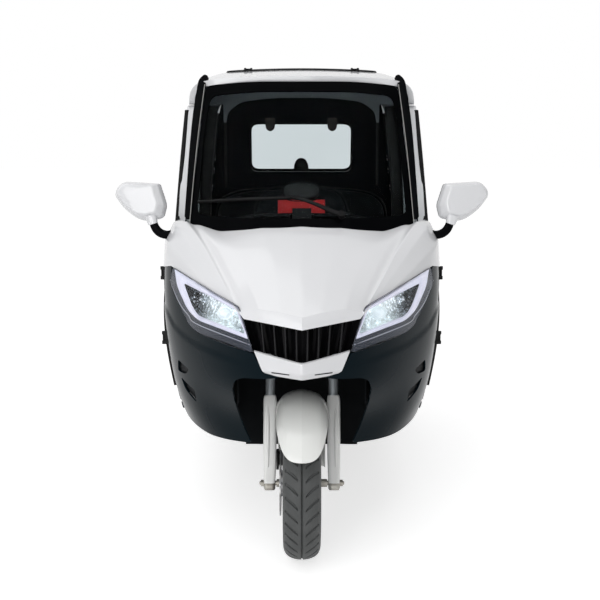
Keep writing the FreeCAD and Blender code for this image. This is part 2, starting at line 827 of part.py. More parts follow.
def door_knuckles():
    """The door's halves of its hinges: a leaf on the skin and a bored barrel between the fixed ones."""
    pieces = []
    for z in HINGE_HEIGHTS:
        half = HINGE_HALF - mm("pin_gap")
        low = Vector(HINGE_AXIS.x, HINGE_AXIS.y, z - half)
        barrel = Part.makeCylinder(HINGE_BARREL, 2 * half, low)
        arm = block((470, HINGE_AXIS.y + 2.8, z - half), (HINGE_AXIS.x, HINGE_AXIS.y + HINGE_BARREL, z + half))
        leaf = side_band(-3, 10).common(block((400, HINGE_AXIS.y + 2.8, z - half), (600, 490, z + half)))
        bore = Part.makeCylinder(HINGE_PIN + HINGE_FIT, 4 * half, low - Vector(0, 0, half))
        pieces.append(fused([barrel, arm, leaf]).cut(bore))
    return pieces


def door_hinges():
    """The fixed halves: a pin with a barrel at each end, on a leaf that lies on the cowl."""
    pieces = []
    skin = wrap(FRONT_LEVELS, -mm("pin_gap"), 60)
    plate = wrap(FRONT_LEVELS, -3.3, 0)
    for z in HINGE_HEIGHTS:
        low = Vector(HINGE_AXIS.x, HINGE_AXIS.y, z - 2 * HINGE_HALF)
        parts = [Part.makeCylinder(HINGE_PIN, 4 * HINGE_HALF, low)]
        for start in (z - 2 * HINGE_HALF, z + HINGE_HALF):
            parts.append(Part.makeCylinder(HINGE_BARREL, HINGE_HALF, Vector(HINGE_AXIS.x, HINGE_AXIS.y, start)))
            front = HINGE_AXIS.y - HINGE_BARREL
            parts.append(block((470, front, start), (HINGE_AXIS.x, HINGE_AXIS.y - 2.8, start + HINGE_HALF)))
        leaf = plate.common(block((400, 425, z - 2 * HINGE_HALF), (600, HINGE_AXIS.y - 2.8, z + 2 * HINGE_HALF)))
        pieces.append(fused(parts + [leaf]).cut(skin))
    return pieces


right_hinges = door_hinges()
right_door = door()
right_glass = door_glass()
feature("door_right", right_door)
feature("door_left", mirrored(right_door))
feature("door_glass_right", right_glass)
feature("door_glass_left", mirrored(right_glass))


def quarter_outline():
    """Side view of the quarter panel, from the door's rear edge to the rear corner."""
    front = DOOR_REAR + mm("move_gap")
    top = mm("side_top") - mm("pin_gap")
    return [(front, 300), (front, top), (CABIN_REAR, top), (CABIN_REAR, 300)]


QUARTER_WINDOW = [(DOOR_REAR + 75, 1010), (DOOR_REAR + 75, 1428), (CABIN_REAR - 205, 1428), (CABIN_REAR - 85, 1300),
                  (CABIN_REAR - 85, 1010)]


def side_panel():
    """Quarter panel with the rear wheel's arch and the fixed window."""
    slab = side_band(0, mm("door_thick"), True).common(side_prism(quarter_outline(), 0, 800))
    arch = Part.makeCylinder(mm("arch_radius"), 800, Vector(0, mm("wheelbase"), mm("tyre_radius")), Vector(1, 0, 0))
    slab = slab.cut(arch)
    slab = slab.cut(side_prism(QUARTER_WINDOW, 0, 800))
    return slab


def quarter_glass():
    middle = mm("door_thick") / 2
    outline = [(y, z) for y, z in QUARTER_WINDOW]
    wire = Part.makePolygon([Vector(0, y, z) for y, z in outline] + [Vector(0, outline[0][0], outline[0][1])])
    inner = Part.Face(wire).makeOffset2D(-mm("panel_gap"), 2)
    inset = [(v.Point.y, v.Point.z) for v in inner.OuterWire.OrderedVertexes]
    return side_band(middle - 2, middle + 2, True).common(side_prism(inset, 0, 800))


right_quarter = side_panel()
feature("side_panel_right", right_quarter)
feature("side_panel_left", mirrored(right_quarter))
feature("quarter_glass", pair(quarter_glass()))


def sill():
    """Dark sill below the door."""
    outline = [(mm("door_front") - mm("move_gap"), 372), (700, 318), (DOOR_REAR + mm("move_gap") - mm("panel_gap"), 300),
               (DOOR_REAR + mm("move_gap") - mm("panel_gap"), 394), (mm("door_front") - mm("move_gap"), 394)]
    return side_band(0, mm("door_thick")).common(side_prism(outline, 0, 800))


feature("sills", pair(sill()))

# Rear skin: goes round the back of the car, drawn like the front skin but facing +Y.
REAR_SHAPE = [
    # height, then (x, share of the tail's depth) from the middle out
    (340, [(0, 0.866), (290, 0.791), (410, 0.493), (452, 0)]),
    (600, [(0, 1), (310, 0.925), (440, 0.590), (490, 0)]),
    (860, [(0, 0.985), (320, 0.918), (455, 0.582), (501, 0)]),
    (1120, [(0, 0.791), (312, 0.731), (440, 0.470), (481, 0)]),
    (1380, [(0, 0.537), (290, 0.493), (415, 0.313), (453, 0)]),
    (1640, [(0, 0.254), (260, 0.231), (370, 0.142), (410, 0)]),
]


def tail_place(share):
    """How far back the rear skin is at a share of the tail's depth."""
    return CABIN_REAR + 1 + share * (TAIL - CABIN_REAR - 1)


REAR_LEVELS = [(z, [(x, tail_place(share)) for x, share in half]) for z, half in REAR_SHAPE]
# Where a cut through the rear skin starts and ends.
REAR_CUT = (CABIN_REAR - 100, CABIN_REAR + 600)


def rear_band(near, far):
    """The rear skin between two depths, square to the cabin's rear edge."""
    behind = block((-600, CABIN_REAR + mm("panel_gap"), 0), (600, 2400, 2000))
    return wrap(REAR_LEVELS, near, far, -1).common(behind)


def rear_window_outline(grow):
    x = mm("rear_glass_half_width") + grow
    low = mm("rear_glass_low") - grow
    high = mm("rear_glass_high") + grow
    c = mm("rear_glass_corner") * 0.3
    d = mm("rear_glass_corner")
    half = [(0, high), (x - d, high), (x - c, high - c), (x, high - d), (x, low + d), (x - c, low + c), (x - d, low), (0, low)]
    return both_sides(half)


# The seam between the rear wall and the bumper panel, and the tail lamps' own height range.
BUMPER_TOP = 560
TAIL_LAMP_Z = (762, 928)


def lamp_space(inset):
    """The room of the right tail lamp, drawn in by the inset."""
    low, high = TAIL_LAMP_Z
    return block((400 + inset, CABIN_REAR - 5, low - 2 + inset), (560, REAR_CUT[1], high + 2 - inset))


def rear_wall():
    """White rear wall with the window's opening."""
    shell = rear_band(0, 26)
    shell = shell.cut(front_prism(rear_window_outline(0), *REAR_CUT))
    roof_line = []
    for x, z in ROOF_STATIONS[-1][1]:
        roof_line.append((x, z - 1))
    above = both_sides([(0, 1900), (600, 1900), (600, 1492)] + [(x, z) for x, z in reversed(roof_line)])
    shell = shell.cut(front_prism(above, *REAR_CUT))
    shell = shell.cut(block((-600, REAR_CUT[0], 300), (600, REAR_CUT[1], BUMPER_TOP)))
    recess = rear_band(-20, 14 + mm("pin_gap")).common(lamp_space(0))
    return shell.cut(recess).cut(mirrored(recess))


feature("rear_wall", rear_wall())


def rear_bumper():
    """Dark lower rear panel."""
    reach = block((-600, CABIN_REAR + 1, 360), (600, REAR_CUT[1], BUMPER_TOP - mm("panel_gap")))
    return rear_band(-mm("bumper_proud"), 26).common(reach)


feature("rear_bumper", rear_bumper())


def rear_hatch():
    """Rear window glass that lifts on two hinges at its top edge, with a latch at the bottom."""
    pane = rear_band(4, 9).common(front_prism(rear_window_outline(-mm("move_gap")), *REAR_CUT))
    lug = cross_hinge(HATCH_HINGE, HATCH_HINGE + Vector(0, -4, -22), False)
    half = GLASS_HINGE_HALF - mm("pin_gap")
    foot = block((-half, -13, -22), (half, 0, -9))
    foot.translate(HATCH_HINGE)
    lug = lug.fuse(foot)
    latch = mm("rear_glass_low") + 34
    knob = rod((0, tail_place(0.4), latch), (0, tail_place(0.73), latch), 13)
    return fused([pane, lug, mirrored(lug), knob])


feature("rear_hatch", rear_hatch())


def glass_hinges():
    """Fixed halves of the sunroof's and the rear window's hinges, seated on the roof and on the rear wall."""
    sunroof_foot = cross_hinge(SUNROOF_HINGE, SUNROOF_HINGE + Vector(0, -18, -14), True)
    sunroof_foot = sunroof_foot.cut(roof_band(-mm("pin_gap"), 60))
    hatch_foot = cross_hinge(HATCH_HINGE, HATCH_HINGE + Vector(0, -16, 22), True)
    hatch_foot = hatch_foot.cut(rear_band(-mm("pin_gap"), 60))
    return [sunroof_foot, mirrored(sunroof_foot), hatch_foot, mirrored(hatch_foot)]


feature("hinges", Part.makeCompound(right_hinges + [mirrored(h) for h in right_hinges] + glass_hinges()))


# The front hoop's tubes come down behind the wheel arch at these places.
HOOP_X = 120
HOOP_Y = 425
HOOP_RADIUS = 16


def floor_pan():
    """Floor plate from the front bulkhead to the rear deck."""
    top = mm("floor_top")
    gap = mm("pin_gap")
    pan = block((-400, 392 + gap, top - mm("floor_thick") + gap), (400, DECK_FRONT, top))
    for s in (-1, 1):
        pan = pan.cut(rod((s * HOOP_X, HOOP_Y, 200), (s * HOOP_X, HOOP_Y, 500), HOOP_RADIUS + gap))
        x = s * mm("rail_half_spacing")
        w = mm("rail_width") / 2 + gap
        pan = pan.cut(block((x - w, DECK_FRONT - 40, 200), (x + w, DECK_FRONT + 10, 500)))
    return pan


feature("floor_pan", floor_pan())


def chassis_frame():
    """Ladder frame that kicks up over the rear axle, with the front hoop and the steering head."""
    top = mm("floor_top") - mm("floor_thick")
    low = top - mm("rail_height")
    kick = mm("rail_kick")
    side_view = [
        (410, low), (DECK_FRONT - 10, low), (DECK_FRONT + 70, low + kick), (CABIN_REAR - 5, low + kick),
        (CABIN_REAR - 5, top + kick), (DECK_FRONT + 50, top + kick), (DECK_FRONT - 30, top), (410, top),
    ]
    x = mm("rail_half_spacing")
    w = mm("rail_width") / 2
    pieces = [side_prism(side_view, s * x - w, s * x + w) for s in (-1, 1)]
    cross = ((410, low), (DECK_FRONT - 440, low), (DECK_FRONT - 100, low), (DECK_FRONT + 140, low + kick),
             (CABIN_REAR - 45, low + kick))
    for y, z in cross:
        pieces.append(block((-x, y, z), (x, y + 40, z + mm("rail_height"))))
    rake = math.radians(mm("rake"))
    offset = mm("fork_offset")
    start = mm("yoke_low") + mm("yoke_thick") + 4
    along = Vector(0, math.sin(rake), math.cos(rake))
    base = Vector(0, offset * math.cos(rake), mm("tyre_radius") - offset * math.sin(rake))
    low_end = base + along * start
    high_end = low_end + along * mm("head_length")
    head = Part.makeCylinder(mm("head_radius"), mm("head_length"), low_end, along)
    for s in (-1, 1):
        knee = Vector(s * HOOP_X, HOOP_Y, 700)
        pieces.append(rod(low_end + along * 40, knee, HOOP_RADIUS))
        pieces.append(Part.makeSphere(HOOP_RADIUS, knee))
        pieces.append(rod(knee, Vector(s * HOOP_X, HOOP_Y, low + 20), HOOP_RADIUS))
    pieces.append(head)
    eye_plate = block((-30, CABIN_REAR - 10, low + kick + 21), (30, CABIN_REAR + 40, low + kick + 31))
    pieces.append(eye_plate.cut(Part.makeCylinder(mm("tow_eye_radius"), 40, Vector(0, CABIN_REAR + 14, low + kick))))
    bore = Part.makeCylinder(mm("stem_radius") + mm("pin_gap"), mm("head_length") + 80, low_end - along * 40, along)
    return fused(pieces).cut(bore)


feature("chassis_frame", chassis_frame())


def rear_axle():
    """Axle tube with its motor and gear case, spindles and brake drums' backing plates."""
    y = mm("wheelbase")
    z = mm("tyre_radius")
    inner = mm("rear_track") / 2 - mm("tyre_width") / 2 - 12
    tube = Part.makeCylinder(30, 2 * inner, Vector(-inner, y, z), Vector(1, 0, 0))
    case = Part.makeCylinder(82, 90, Vector(-45, y, z), Vector(1, 0, 0))
    motor = Part.makeCylinder(68, 150, Vector(60, y + 10, z + 6), Vector(1, 0, 0))
    spindle_reach = mm("rear_track") / 2 + 60
    spindle = Part.makeCylinder(mm("axle_radius"), 2 * spindle_reach, Vector(-spindle_reach, y, z), Vector(1, 0, 0))
    drums = [
        Part.makeCylinder(78, 30, Vector(s * (inner - 34), y, z), Vector(s, 0, 0)) for s in (-1, 1)
    ]
    return fused([tube, case, motor, spindle] + drums)


feature("rear_axle", rear_axle())


def leaf_springs():
    """Leaf packs between the axle and the rails, with their eyes."""
    y = mm("wheelbase")
    top = mm("floor_top") - mm("floor_thick") - mm("rail_height") + mm("rail_kick")
    seat = mm("tyre_radius") + 30
    x = mm("rail_half_spacing")
    high = top - 0.6
    arc = [
        (y - 245, high), (y - 245, high - 12), (y - 140, seat + 14), (y, seat + 0.3), (y + 150, seat + 14),
        (y + 250, high - 12), (y + 250, high), (y + 150, seat + 30), (y, seat + 24), (y - 140, seat + 30),
    ]
    spring = side_prism(arc, x - 22, x + 22)
    return pair(spring)


feature("leaf_springs", leaf_springs())


# The battery under the driver's cushion fills the height between the floor and the cushion.
pack = doc.addObject("Part::Box", "battery_pack")
pack.Label = "battery_pack"
pack_low = size("floor_top") + size("pin_gap")
for side, length in (("Length", size("battery_width")), ("Width", size("battery_length")),
                     ("Height", size("seat_height") - size("seat_cushion") - pack_low - 0.7)):
    pack.setExpression(side, length.text)
keep(pack, Placement(Vector(-mm("battery_width") / 2, float(seat_front) + 20, float(pack_low)), Rotation()))


def arch_liner():
    """Black liner round the front wheel: walls, ceiling and the rear wall that is also the front bulkhead."""
    outer = [(-206, -36), (-252, 120), (-288, 240), (-288, 365), (-240, 392), (240, 392), (288, 365), (288, 240),
             (252, 120), (206, -36)]
    inner = [(-201, -37), (-247, 120), (-282, 240), (-282, 362), (-238, 386), (238, 386), (282, 362), (282, 240),
             (247, 120), (201, -37)]
    walls = plan_prism(outer, 372, 770).cut(plan_prism(inner, 200, 764))
    bulkhead = block((-300, 386, 290), (300, 392, 380))
    rake = math.radians(mm("rake"))
    along = Vector(0, math.sin(rake), math.cos(rake))
    offset = mm("fork_offset")
    base = Vector(0, offset * math.cos(rake), mm("tyre_radius") - offset * math.sin(rake))
    hole = Part.makeCylinder(mm("head_radius") + 3, 900, base, along)
    walls = walls.cut(hole)
    for s in (-1, 1):
        walls = walls.cut(rod(base + along * (mm("yoke_low") + mm("yoke_thick") + 44), Vector(s * 120, 425, 700), 19))
    inside = wrap(FRONT_LEVELS, -160, mm("panel_thick") + mm("pin_gap"))
    return fused([walls.cut(inside), bulkhead])


feature("arch_liner", arch_liner())


HOOD_STATIONS = [
    # y, centre z, then (x, z) of the valley, crease, shoulder, flank and the edge that the lamps cover
    (-300, 817, (104, 804), (150, 780), (152, 772), (154, 760), (155, 740)),
    (-150, 892, (140, 877), (194, 850), (198, 840), (201, 827), (204, 806)),
    (0, 967, (182, 948), (256, 930), (278, 917), (300, 898), (314, 864)),
    (150, 1040, (230, 1010), (318, 1006), (354, 988), (388, 952), (403, 896)),
    (300, 1102, (284, 1050), (388, 1075), (434, 1058), (468, 1002), (478, 905)),
    (450, 1130, (312, 1070), (424, 1084), (462, 1066), (490, 1004), (497, 900)),
]


def half_hood(depth):
    """Right half of the hood: a crowned top and a flank, creased where they meet, depth thick."""
    wires = []
    down = Vector(0, 0, -depth)
    inside = Vector(-depth, 0, -depth * 0.6)
    for y, centre, valley, crease, shoulder, flank, edge in HOOD_STATIONS:
        crown = (valley[0] * 0.5, centre * 0.62 + valley[1] * 0.38)
        top, _ = flats([Vector(x, y, z) for x, z in ((0, centre), crown, valley, crease)], 4)
        side, _ = flats([Vector(x, y, z) for x, z in (crease, shoulder, flank, edge)], 3)
        outer = top + side[1:]
        inner = [p + down for p in top[:-1]] + [p + inside for p in side]
        wires.append(closed_wire(outer, inner))
    return Part.makeLoft(wires, True, True)


# The lip's outer face: its top line, then its bottom line, from the middle out.
LIP_TOP = [(0, -249.5, 841), (194, -161, 856)]
LIP_FOOT = [(0, -270, 808), (174, -182, 827)]


def hood_lip():
    """The hood's front face: a V-shaped plate that leans forward from the hood's edge down to the grille."""
    wires = []
    for inwards in (0, 7):
        corners = [Vector(x, y + inwards, z) for x, y, z in LIP_TOP + LIP_FOOT[::-1]]
        wires.append(Part.makePolygon(corners + [corners[0]]))
    half = Part.makeLoft(wires, True, True)
    return fused([half, mirrored(half)])


def hood():
    """White hood: creased skin, cut to the V of its lip in front, to the lamps below and to the windscreen."""
    skin = half_hood(mm("panel_thick"))
    gap = mm("panel_gap")
    skin = skin.cut(plan_prism([(0, -400), (320, -400), (320, -102), (195, -162), (0, -250)], 600, 1300))
    lamp_line = [(-10, 600)] + [(x, z + gap) for x, z in HOOD_EDGE] + [(560, 600)]
    skin = skin.cut(front_prism(lamp_line))
    skin = skin.cut(screen_band(-1.0 - gap, 400).common(block((-10, -300, 900), (424, 1400, 1400))))
    skin = skin.cut(block((-10, mm("door_front") - mm("move_gap"), 700), (560, 900, 1300)))
    return fused([skin, mirrored(skin), hood_lip()])


feature("hood", hood())


def steering_line():
    """A point on the steering axis at the axle's height, and the axis's direction."""
    rake = math.radians(mm("rake"))
    offset = mm("fork_offset")
    base = Vector(0, offset * math.cos(rake), mm("tyre_radius") - offset * math.sin(rake))
    return base, Vector(0, math.sin(rake), math.cos(rake))


def dash():
    """Dash panel across the cabin below the windscreen, with a slot round the steering column."""
    outline = [(244, 1036), (300, 1050), (326, 1034), (336, 900), (400, 790), (400, 774), (392, 774), (326, 892),
               (316, 1026), (298, 1041), (244, 1028)]
    base, along = steering_line()
    panel = side_prism(outline, -380, 380)
    panel = panel.cut(Part.makeCylinder(mm("head_radius") + mm("move_gap"), 780, base, along))
    panel = panel.cut(Part.makeCylinder(mm("stem_radius") + mm("move_gap"), 1300, base, along))
    return panel.cut(screen_band(-80, mm("glass_thick") + 9 + mm("pin_gap")))


feature("dash", dash())


def seat_body(label, start, low, thick, rake, top, width):
    """Cushion and backrest in one outline: the cushion on its base, the back raked by the given distance."""
    seat = low + thick
    back = start + 300
    corners = [
        (start, low), (start, seat), (start + 60, seat + 8), (back, seat - 8), (back + rake, top - 20),
        (back + rake + 15, top), (back + rake + 45, top - 10), (back + rake + 55, top - 70),
        (back + 80, seat - 60), (back + 80, low),
    ]
    side_body(label, corners, width)


# Driver's seat, and the bench over the rear axle.
seat_base = size("seat_height") - size("seat_cushion")
seat_body("driver_seat", seat_front, seat_base, size("seat_cushion"), 45, seat_base + 647, size("seat_width"))
seat_body("rear_bench", cabin_rear - 535, size("deck_top"), size("bench_cushion"), 60,
          size("deck_top") + 540, size("bench_width"))


def rear_deck():
    """Deck over the rear axle with its front riser."""
    top = mm("deck_top")
    plate = block((-453, DECK_FRONT - 10, top - 10), (453, CABIN_REAR - 5, top - 0.3))
    riser = block((-400, DECK_FRONT - 10, mm("floor_top") + 0.3), (400, DECK_FRONT - 2, top - 8))
    kick_top = mm("floor_top") - mm("floor_thick") + mm("rail_kick")
    for s in (-1, 1):
        x = s * mm("rail_half_spacing")
        w = mm("rail_width") / 2 + mm("pin_gap")
        riser = riser.cut(block((x - w, DECK_FRONT - 100, 200), (x + w, DECK_FRONT + 100, kick_top + mm("pin_gap"))))
    return fused([plate, riser])


feature("rear_deck", rear_deck())

def pillar_trims():
    """Black rounded trims that run up the windscreen's sides."""
    outline = front_prism(TRIM_OUTLINE, -200, 900)
    wider = shrunk(both_sides(SCREEN_OUTLINE), -mm("panel_gap"))
    trims = screen_band(-6, 8).common(outline).cut(front_prism(wider, -200, 900))
    return trims.cut(roof_band(-mm("pin_gap"), 80))


feature("pillar_trims", pair(pillar_trims()))

MIRROR_OUTLINE = [(474, 1129), (497, 1206), (626, 1214), (652, 1186), (656, 1157), (528, 1073), (486, 1086)]


def mirror_housing():
    """Faceted mirror shell: its full outline towards the driver, drawn in towards the front."""
    centre = Vector(566, 0, 1150)
    wires = []
    for y, share in ((338, 0.72), (356, 0.97), (392, 1.0)):
        corners = [Vector(centre.x + (x - centre.x) * share, y, centre.z + (z - centre.z) * share) for x, z in MIRROR_OUTLINE]
        wires.append(Part.makePolygon(corners + [corners[0]]))
    shell = Part.makeLoft(wires, True, True)
    pocket = front_prism(shrunk(MIRROR_OUTLINE, 6), 386, 420)
    return shell.cut(pocket)


def mirror_glass():
    return front_prism(shrunk(MIRROR_OUTLINE, 7), 386 + mm("pin_gap"), 389)


def mirror_arm():
    """Curved arm from the hood's shoulder to the mirror's lower edge."""
    foot = Vector(452, 345, 1046)
    elbow = Vector(512, 352, 1052)
    head = Vector(530, 362, 1076)
    return fused([rod(foot, elbow, 9), Part.makeSphere(9, elbow), rod(elbow, head, 9)]).cut(mirror_housing())


feature("mirror_housings", pair(mirror_housing()))
feature("mirror_glasses", pair(mirror_glass()))
feature("mirror_arms", pair(mirror_arm().cut(hood())))


def flat_bar(start, end, wide, deep):
    """A straight bar of rectangular section between two points of the windscreen."""
    run = end - start
    bar = Part.makeBox(run.Length, deep, wide, Vector(0, -deep / 2, -wide / 2))
    bar.Placement = Placement(start, Rotation(Vector(1, 0, 0), run))
    return bar


def wiper():
    """Wiper arm and blade parked low on the glass, on a spindle at the screen's base."""
    lift = Vector(0, -18, 10)
    pivot = Vector(135, 245, 1099) + lift
    joint = Vector(-40, 276, 1159) + lift
    left = Vector(-360, 332, 1141) + lift
    right = Vector(-6, 275, 1159) + lift
    spindle = rod(pivot + Vector(0, -6, 6), pivot + Vector(0, 24, -26), 7)
    spindle = spindle.cut(screen_band(-1 - mm("pin_gap"), 60))
    return fused([spindle, flat_bar(pivot, joint, 9, 6), flat_bar(left, right, 8, 7)])


feature("wiper", wiper())


def tail_lamps():
    """Upright tail lamps at the rear corners, set into the rear wall."""
    return rear_band(-8, 14).common(lamp_space(2))


feature("tail_lamps", pair(tail_lamps()))

doc.recompute()
failed = [obj.Label for obj in doc.Objects if "Invalid" in obj.State or "Error" in obj.State]
for obj in kept:
    if obj.Shape.isNull() or not obj.Shape.isValid() or not obj.Shape.Solids:
        failed.append(obj.Label)
if failed:
    raise RuntimeError("these pieces failed: " + ", ".join(failed))
os.makedirs("parts", exist_ok=True)
for obj in kept:
    obj.Shape.exportStep("parts/" + obj.Label + ".step")
    print(obj.Label, len(obj.Shape.Solids), round(obj.Shape.Volume / 1e6, 3))
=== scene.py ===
import math

import bmesh
import bpy
import numpy as np
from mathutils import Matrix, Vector, geometry


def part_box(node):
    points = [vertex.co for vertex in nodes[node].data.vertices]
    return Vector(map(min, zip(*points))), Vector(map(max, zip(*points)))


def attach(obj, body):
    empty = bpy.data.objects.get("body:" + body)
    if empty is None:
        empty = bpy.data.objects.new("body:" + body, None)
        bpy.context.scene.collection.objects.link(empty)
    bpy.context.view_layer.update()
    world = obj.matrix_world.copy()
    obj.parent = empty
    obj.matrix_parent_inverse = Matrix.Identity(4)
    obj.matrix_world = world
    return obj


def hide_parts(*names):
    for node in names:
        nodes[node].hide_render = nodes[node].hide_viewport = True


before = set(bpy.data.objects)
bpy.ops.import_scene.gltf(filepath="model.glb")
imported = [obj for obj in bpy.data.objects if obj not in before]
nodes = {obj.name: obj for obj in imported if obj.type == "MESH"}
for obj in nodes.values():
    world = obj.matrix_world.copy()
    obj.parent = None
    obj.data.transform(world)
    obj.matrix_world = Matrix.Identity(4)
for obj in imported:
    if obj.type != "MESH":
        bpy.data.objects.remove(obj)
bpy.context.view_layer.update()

axle_low, axle_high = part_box("front_tyre")
AXLE_Y = (axle_low.y + axle_high.y) / 2
AXLE_Z = (axle_low.z + axle_high.z) / 2
WHEELBASE = (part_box("rear_tyre_left")[0].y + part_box("rear_tyre_left")[1].y) / 2 - AXLE_Y
HALF_TRACK = (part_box("rear_tyre_right")[0].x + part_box("rear_tyre_right")[1].x) / 2
CABIN_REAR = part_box("side_panel_right")[1].y - AXLE_Y
DOOR_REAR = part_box("door_right")[1].y - AXLE_Y
WHEELS = (("front", "", 0, 0), ("rear", "_left", -HALF_TRACK, WHEELBASE), ("rear", "_right", HALF_TRACK, WHEELBASE))


def set_sockets(node, values):
    """Sets plain values on a node's sockets by name."""
    for name, value in values.items():
        node.inputs[name].default_value = value


def grain_group():
    """What all the finishes share: large soft patches in the colour, a finer change of gloss, and a bump of
    the given grain. It puts out a colour, a roughness and a normal."""
    group = bpy.data.node_groups.new("surface_grain", "ShaderNodeTree")
    given = (("Color", "NodeSocketColor"), ("Second Color", "NodeSocketColor"), ("Patch Scale", "NodeSocketFloat"),
             ("Roughness", "NodeSocketFloat"), ("Roughness Change", "NodeSocketFloat"),
             ("Grain Scale", "NodeSocketFloat"), ("Grain Height", "NodeSocketFloat"))
    for name, kind in given:
        group.interface.new_socket(name=name, in_out="INPUT", socket_type=kind)
    for name, kind in (("Color", "NodeSocketColor"), ("Roughness", "NodeSocketFloat"), ("Normal", "NodeSocketVector")):
        group.interface.new_socket(name=name, in_out="OUTPUT", socket_type=kind)
    link = group.links.new
    put_in = group.nodes.new("NodeGroupInput")
    put_out = group.nodes.new("NodeGroupOutput")
    where = group.nodes.new("ShaderNodeTexCoord")
    noises = []
    for scale, detail in ((3, 5), (23, 6), (300, 2)):
        noise = group.nodes.new("ShaderNodeTexNoise")
        set_sockets(noise, {"Scale": scale, "Detail": detail})
        link(where.outputs["Object"], noise.inputs["Vector"])
        noises.append(noise)
    patches, gloss, grain = noises
    link(put_in.outputs["Patch Scale"], patches.inputs["Scale"])
    spread = group.nodes.new("ShaderNodeMapRange")
    set_sockets(spread, {"From Min": 0.35, "From Max": 0.7})
    link(patches.outputs["Fac"], spread.inputs["Value"])
    mix = group.nodes.new("ShaderNodeMix")
    mix.data_type = "RGBA"
    link(spread.outputs["Result"], mix.inputs["Factor"])
    link(put_in.outputs["Color"], mix.inputs["A"])
    link(put_in.outputs["Second Color"], mix.inputs["B"])
    link(mix.outputs["Result"], put_out.inputs["Color"])
    change = group.nodes.new("ShaderNodeMath")
    change.operation = "MULTIPLY_ADD"
    link(gloss.outputs["Fac"], change.inputs[0])
    link(put_in.outputs["Roughness Change"], change.inputs[1])
    link(put_in.outputs["Roughness"], change.inputs[2])
    link(change.outputs["Value"], put_out.inputs["Roughness"])
    link(put_in.outputs["Grain Scale"], grain.inputs["Scale"])
    bump = group.nodes.new("ShaderNodeBump")
    set_sockets(bump, {"Distance": 0.001})
    link(grain.outputs["Fac"], bump.inputs["Height"])
    link(put_in.outputs["Grain Height"], bump.inputs["Strength"])
    link(bump.outputs["Normal"], put_out.inputs["Normal"])
    return group


GRAIN = grain_group()


def finish(name, color, second, patch, rough, change, grain, height, **plain):
    """A material whose colour, gloss and bump come from the grain group. plain holds the shader's own values,
    with a space in a socket's name written as an underscore."""
    material = bpy.data.materials.new(name)
    material.use_nodes = True
    tree = material.node_tree
    shader = tree.nodes["Principled BSDF"]
    group = tree.nodes.new("ShaderNodeGroup")
    group.node_tree = GRAIN
    set_sockets(group, {"Color": (*color, 1), "Second Color": (*second, 1), "Patch Scale": patch,
                        "Roughness": rough, "Roughness Change": change, "Grain Scale": grain, "Grain Height": height})
    for socket, target in (("Color", "Base Color"), ("Roughness", "Roughness"), ("Normal", "Normal")):
        tree.links.new(group.outputs[socket], shader.inputs[target])
    set_sockets(shader, {name.replace("_", " "): value for name, value in plain.items()})
    return material


def dress(material, *names):
    """Gives CAD nodes that stay as they are their finish."""
    for name in names:
        nodes[name].data.materials.clear()
        nodes[name].data.materials.append(material)


FRAME_STEEL = finish("satin_frame_paint", (0.02, 0.021, 0.023), (0.04, 0.038, 0.036), 8, 0.38, 0.2, 300, 0.12)
BATTERY_CASE = finish("battery_case", (0.03, 0.03, 0.032), (0.045, 0.045, 0.047), 5, 0.5, 0.15, 700, 0.2)
dress(FRAME_STEEL, "chassis_frame", "rear_axle", "leaf_springs")
dress(BATTERY_CASE, "battery_pack")

# The tyres: moped tyres of black rubber, moulded in one with their tread, a straight groove round the middle
# and swept slashes to each side that point forwards as they meet the ground. Their helpers serve all that follows.
RUBBER = finish("tyre_rubber", (0.050, 0.053, 0.053), (0.072, 0.075, 0.075), 14, 0.55, 0.2, 1500, 0.25)
TYRE_HALF = [(0.0, 0.2440), (0.018, 0.2424), (0.036, 0.2368), (0.0500, 0.2270), (0.0585, 0.2120), (0.0600, 0.1960),
             (0.0575, 0.1790), (0.0490, 0.1640), (0.0440, 0.1575)]
BEAD_FOOT = (0.040, 0.1535)
TREAD_STEPS = 720
SLASHES = 34
GROOVE_DEPTH = 0.0055


def natural_weights(knots, at):
    """Weights of the natural cubic spline through knots at places at: one row a place, one column a knot. The
    second derivatives solve the spline's three-banded equations, so each value is linear in the knots' values."""
    knots = np.asarray(knots, float)
    at = np.ravel(np.asarray(at, float))
    count = len(knots)
    step = np.diff(knots)
    left = np.eye(count)
    right = np.zeros((count, count))
    i = np.arange(1, count - 1)
    left[i, i - 1], left[i, i], left[i, i + 1] = step[:-1], 2 * (step[:-1] + step[1:]), step[1:]
    right[i, i - 1], right[i, i], right[i, i + 1] = 6 / step[:-1], -6 / step[:-1] - 6 / step[1:], 6 / step[1:]
    bend = np.linalg.solve(left, right)
    k = np.clip(np.searchsorted(knots, at) - 1, 0, count - 2)
    a = ((knots[k + 1] - at) / step[k])[:, None]
    b = 1 - a
    unit = np.eye(count)
    curl = (a ** 3 - a) * bend[k] + (b ** 3 - b) * bend[k + 1]
    return a * unit[k] + b * unit[k + 1] + curl * (step[k] ** 2 / 6)[:, None]


def mirrored(half):
    """A half table of places, in rows from the middle outwards, made whole by its mirror image in x."""
    half = np.asarray(half, float)
    over = np.where(np.arange(half.shape[-1]) == 0, -1, 1)
    return np.concatenate([half[..., :0:-1, :] * over, half], -2)


def full_turn(steps):
    """Even angles once round, without the last, which is the first again."""
    return np.linspace(0, 2 * math.pi, steps, endpoint=False)


def values_of(items, name, width):
    """One value of each item of a mesh, such as its place, as rows of an array."""
    values = np.empty(len(items) * width)
    items.foreach_get(name, values)
    return values.reshape(-1, width)


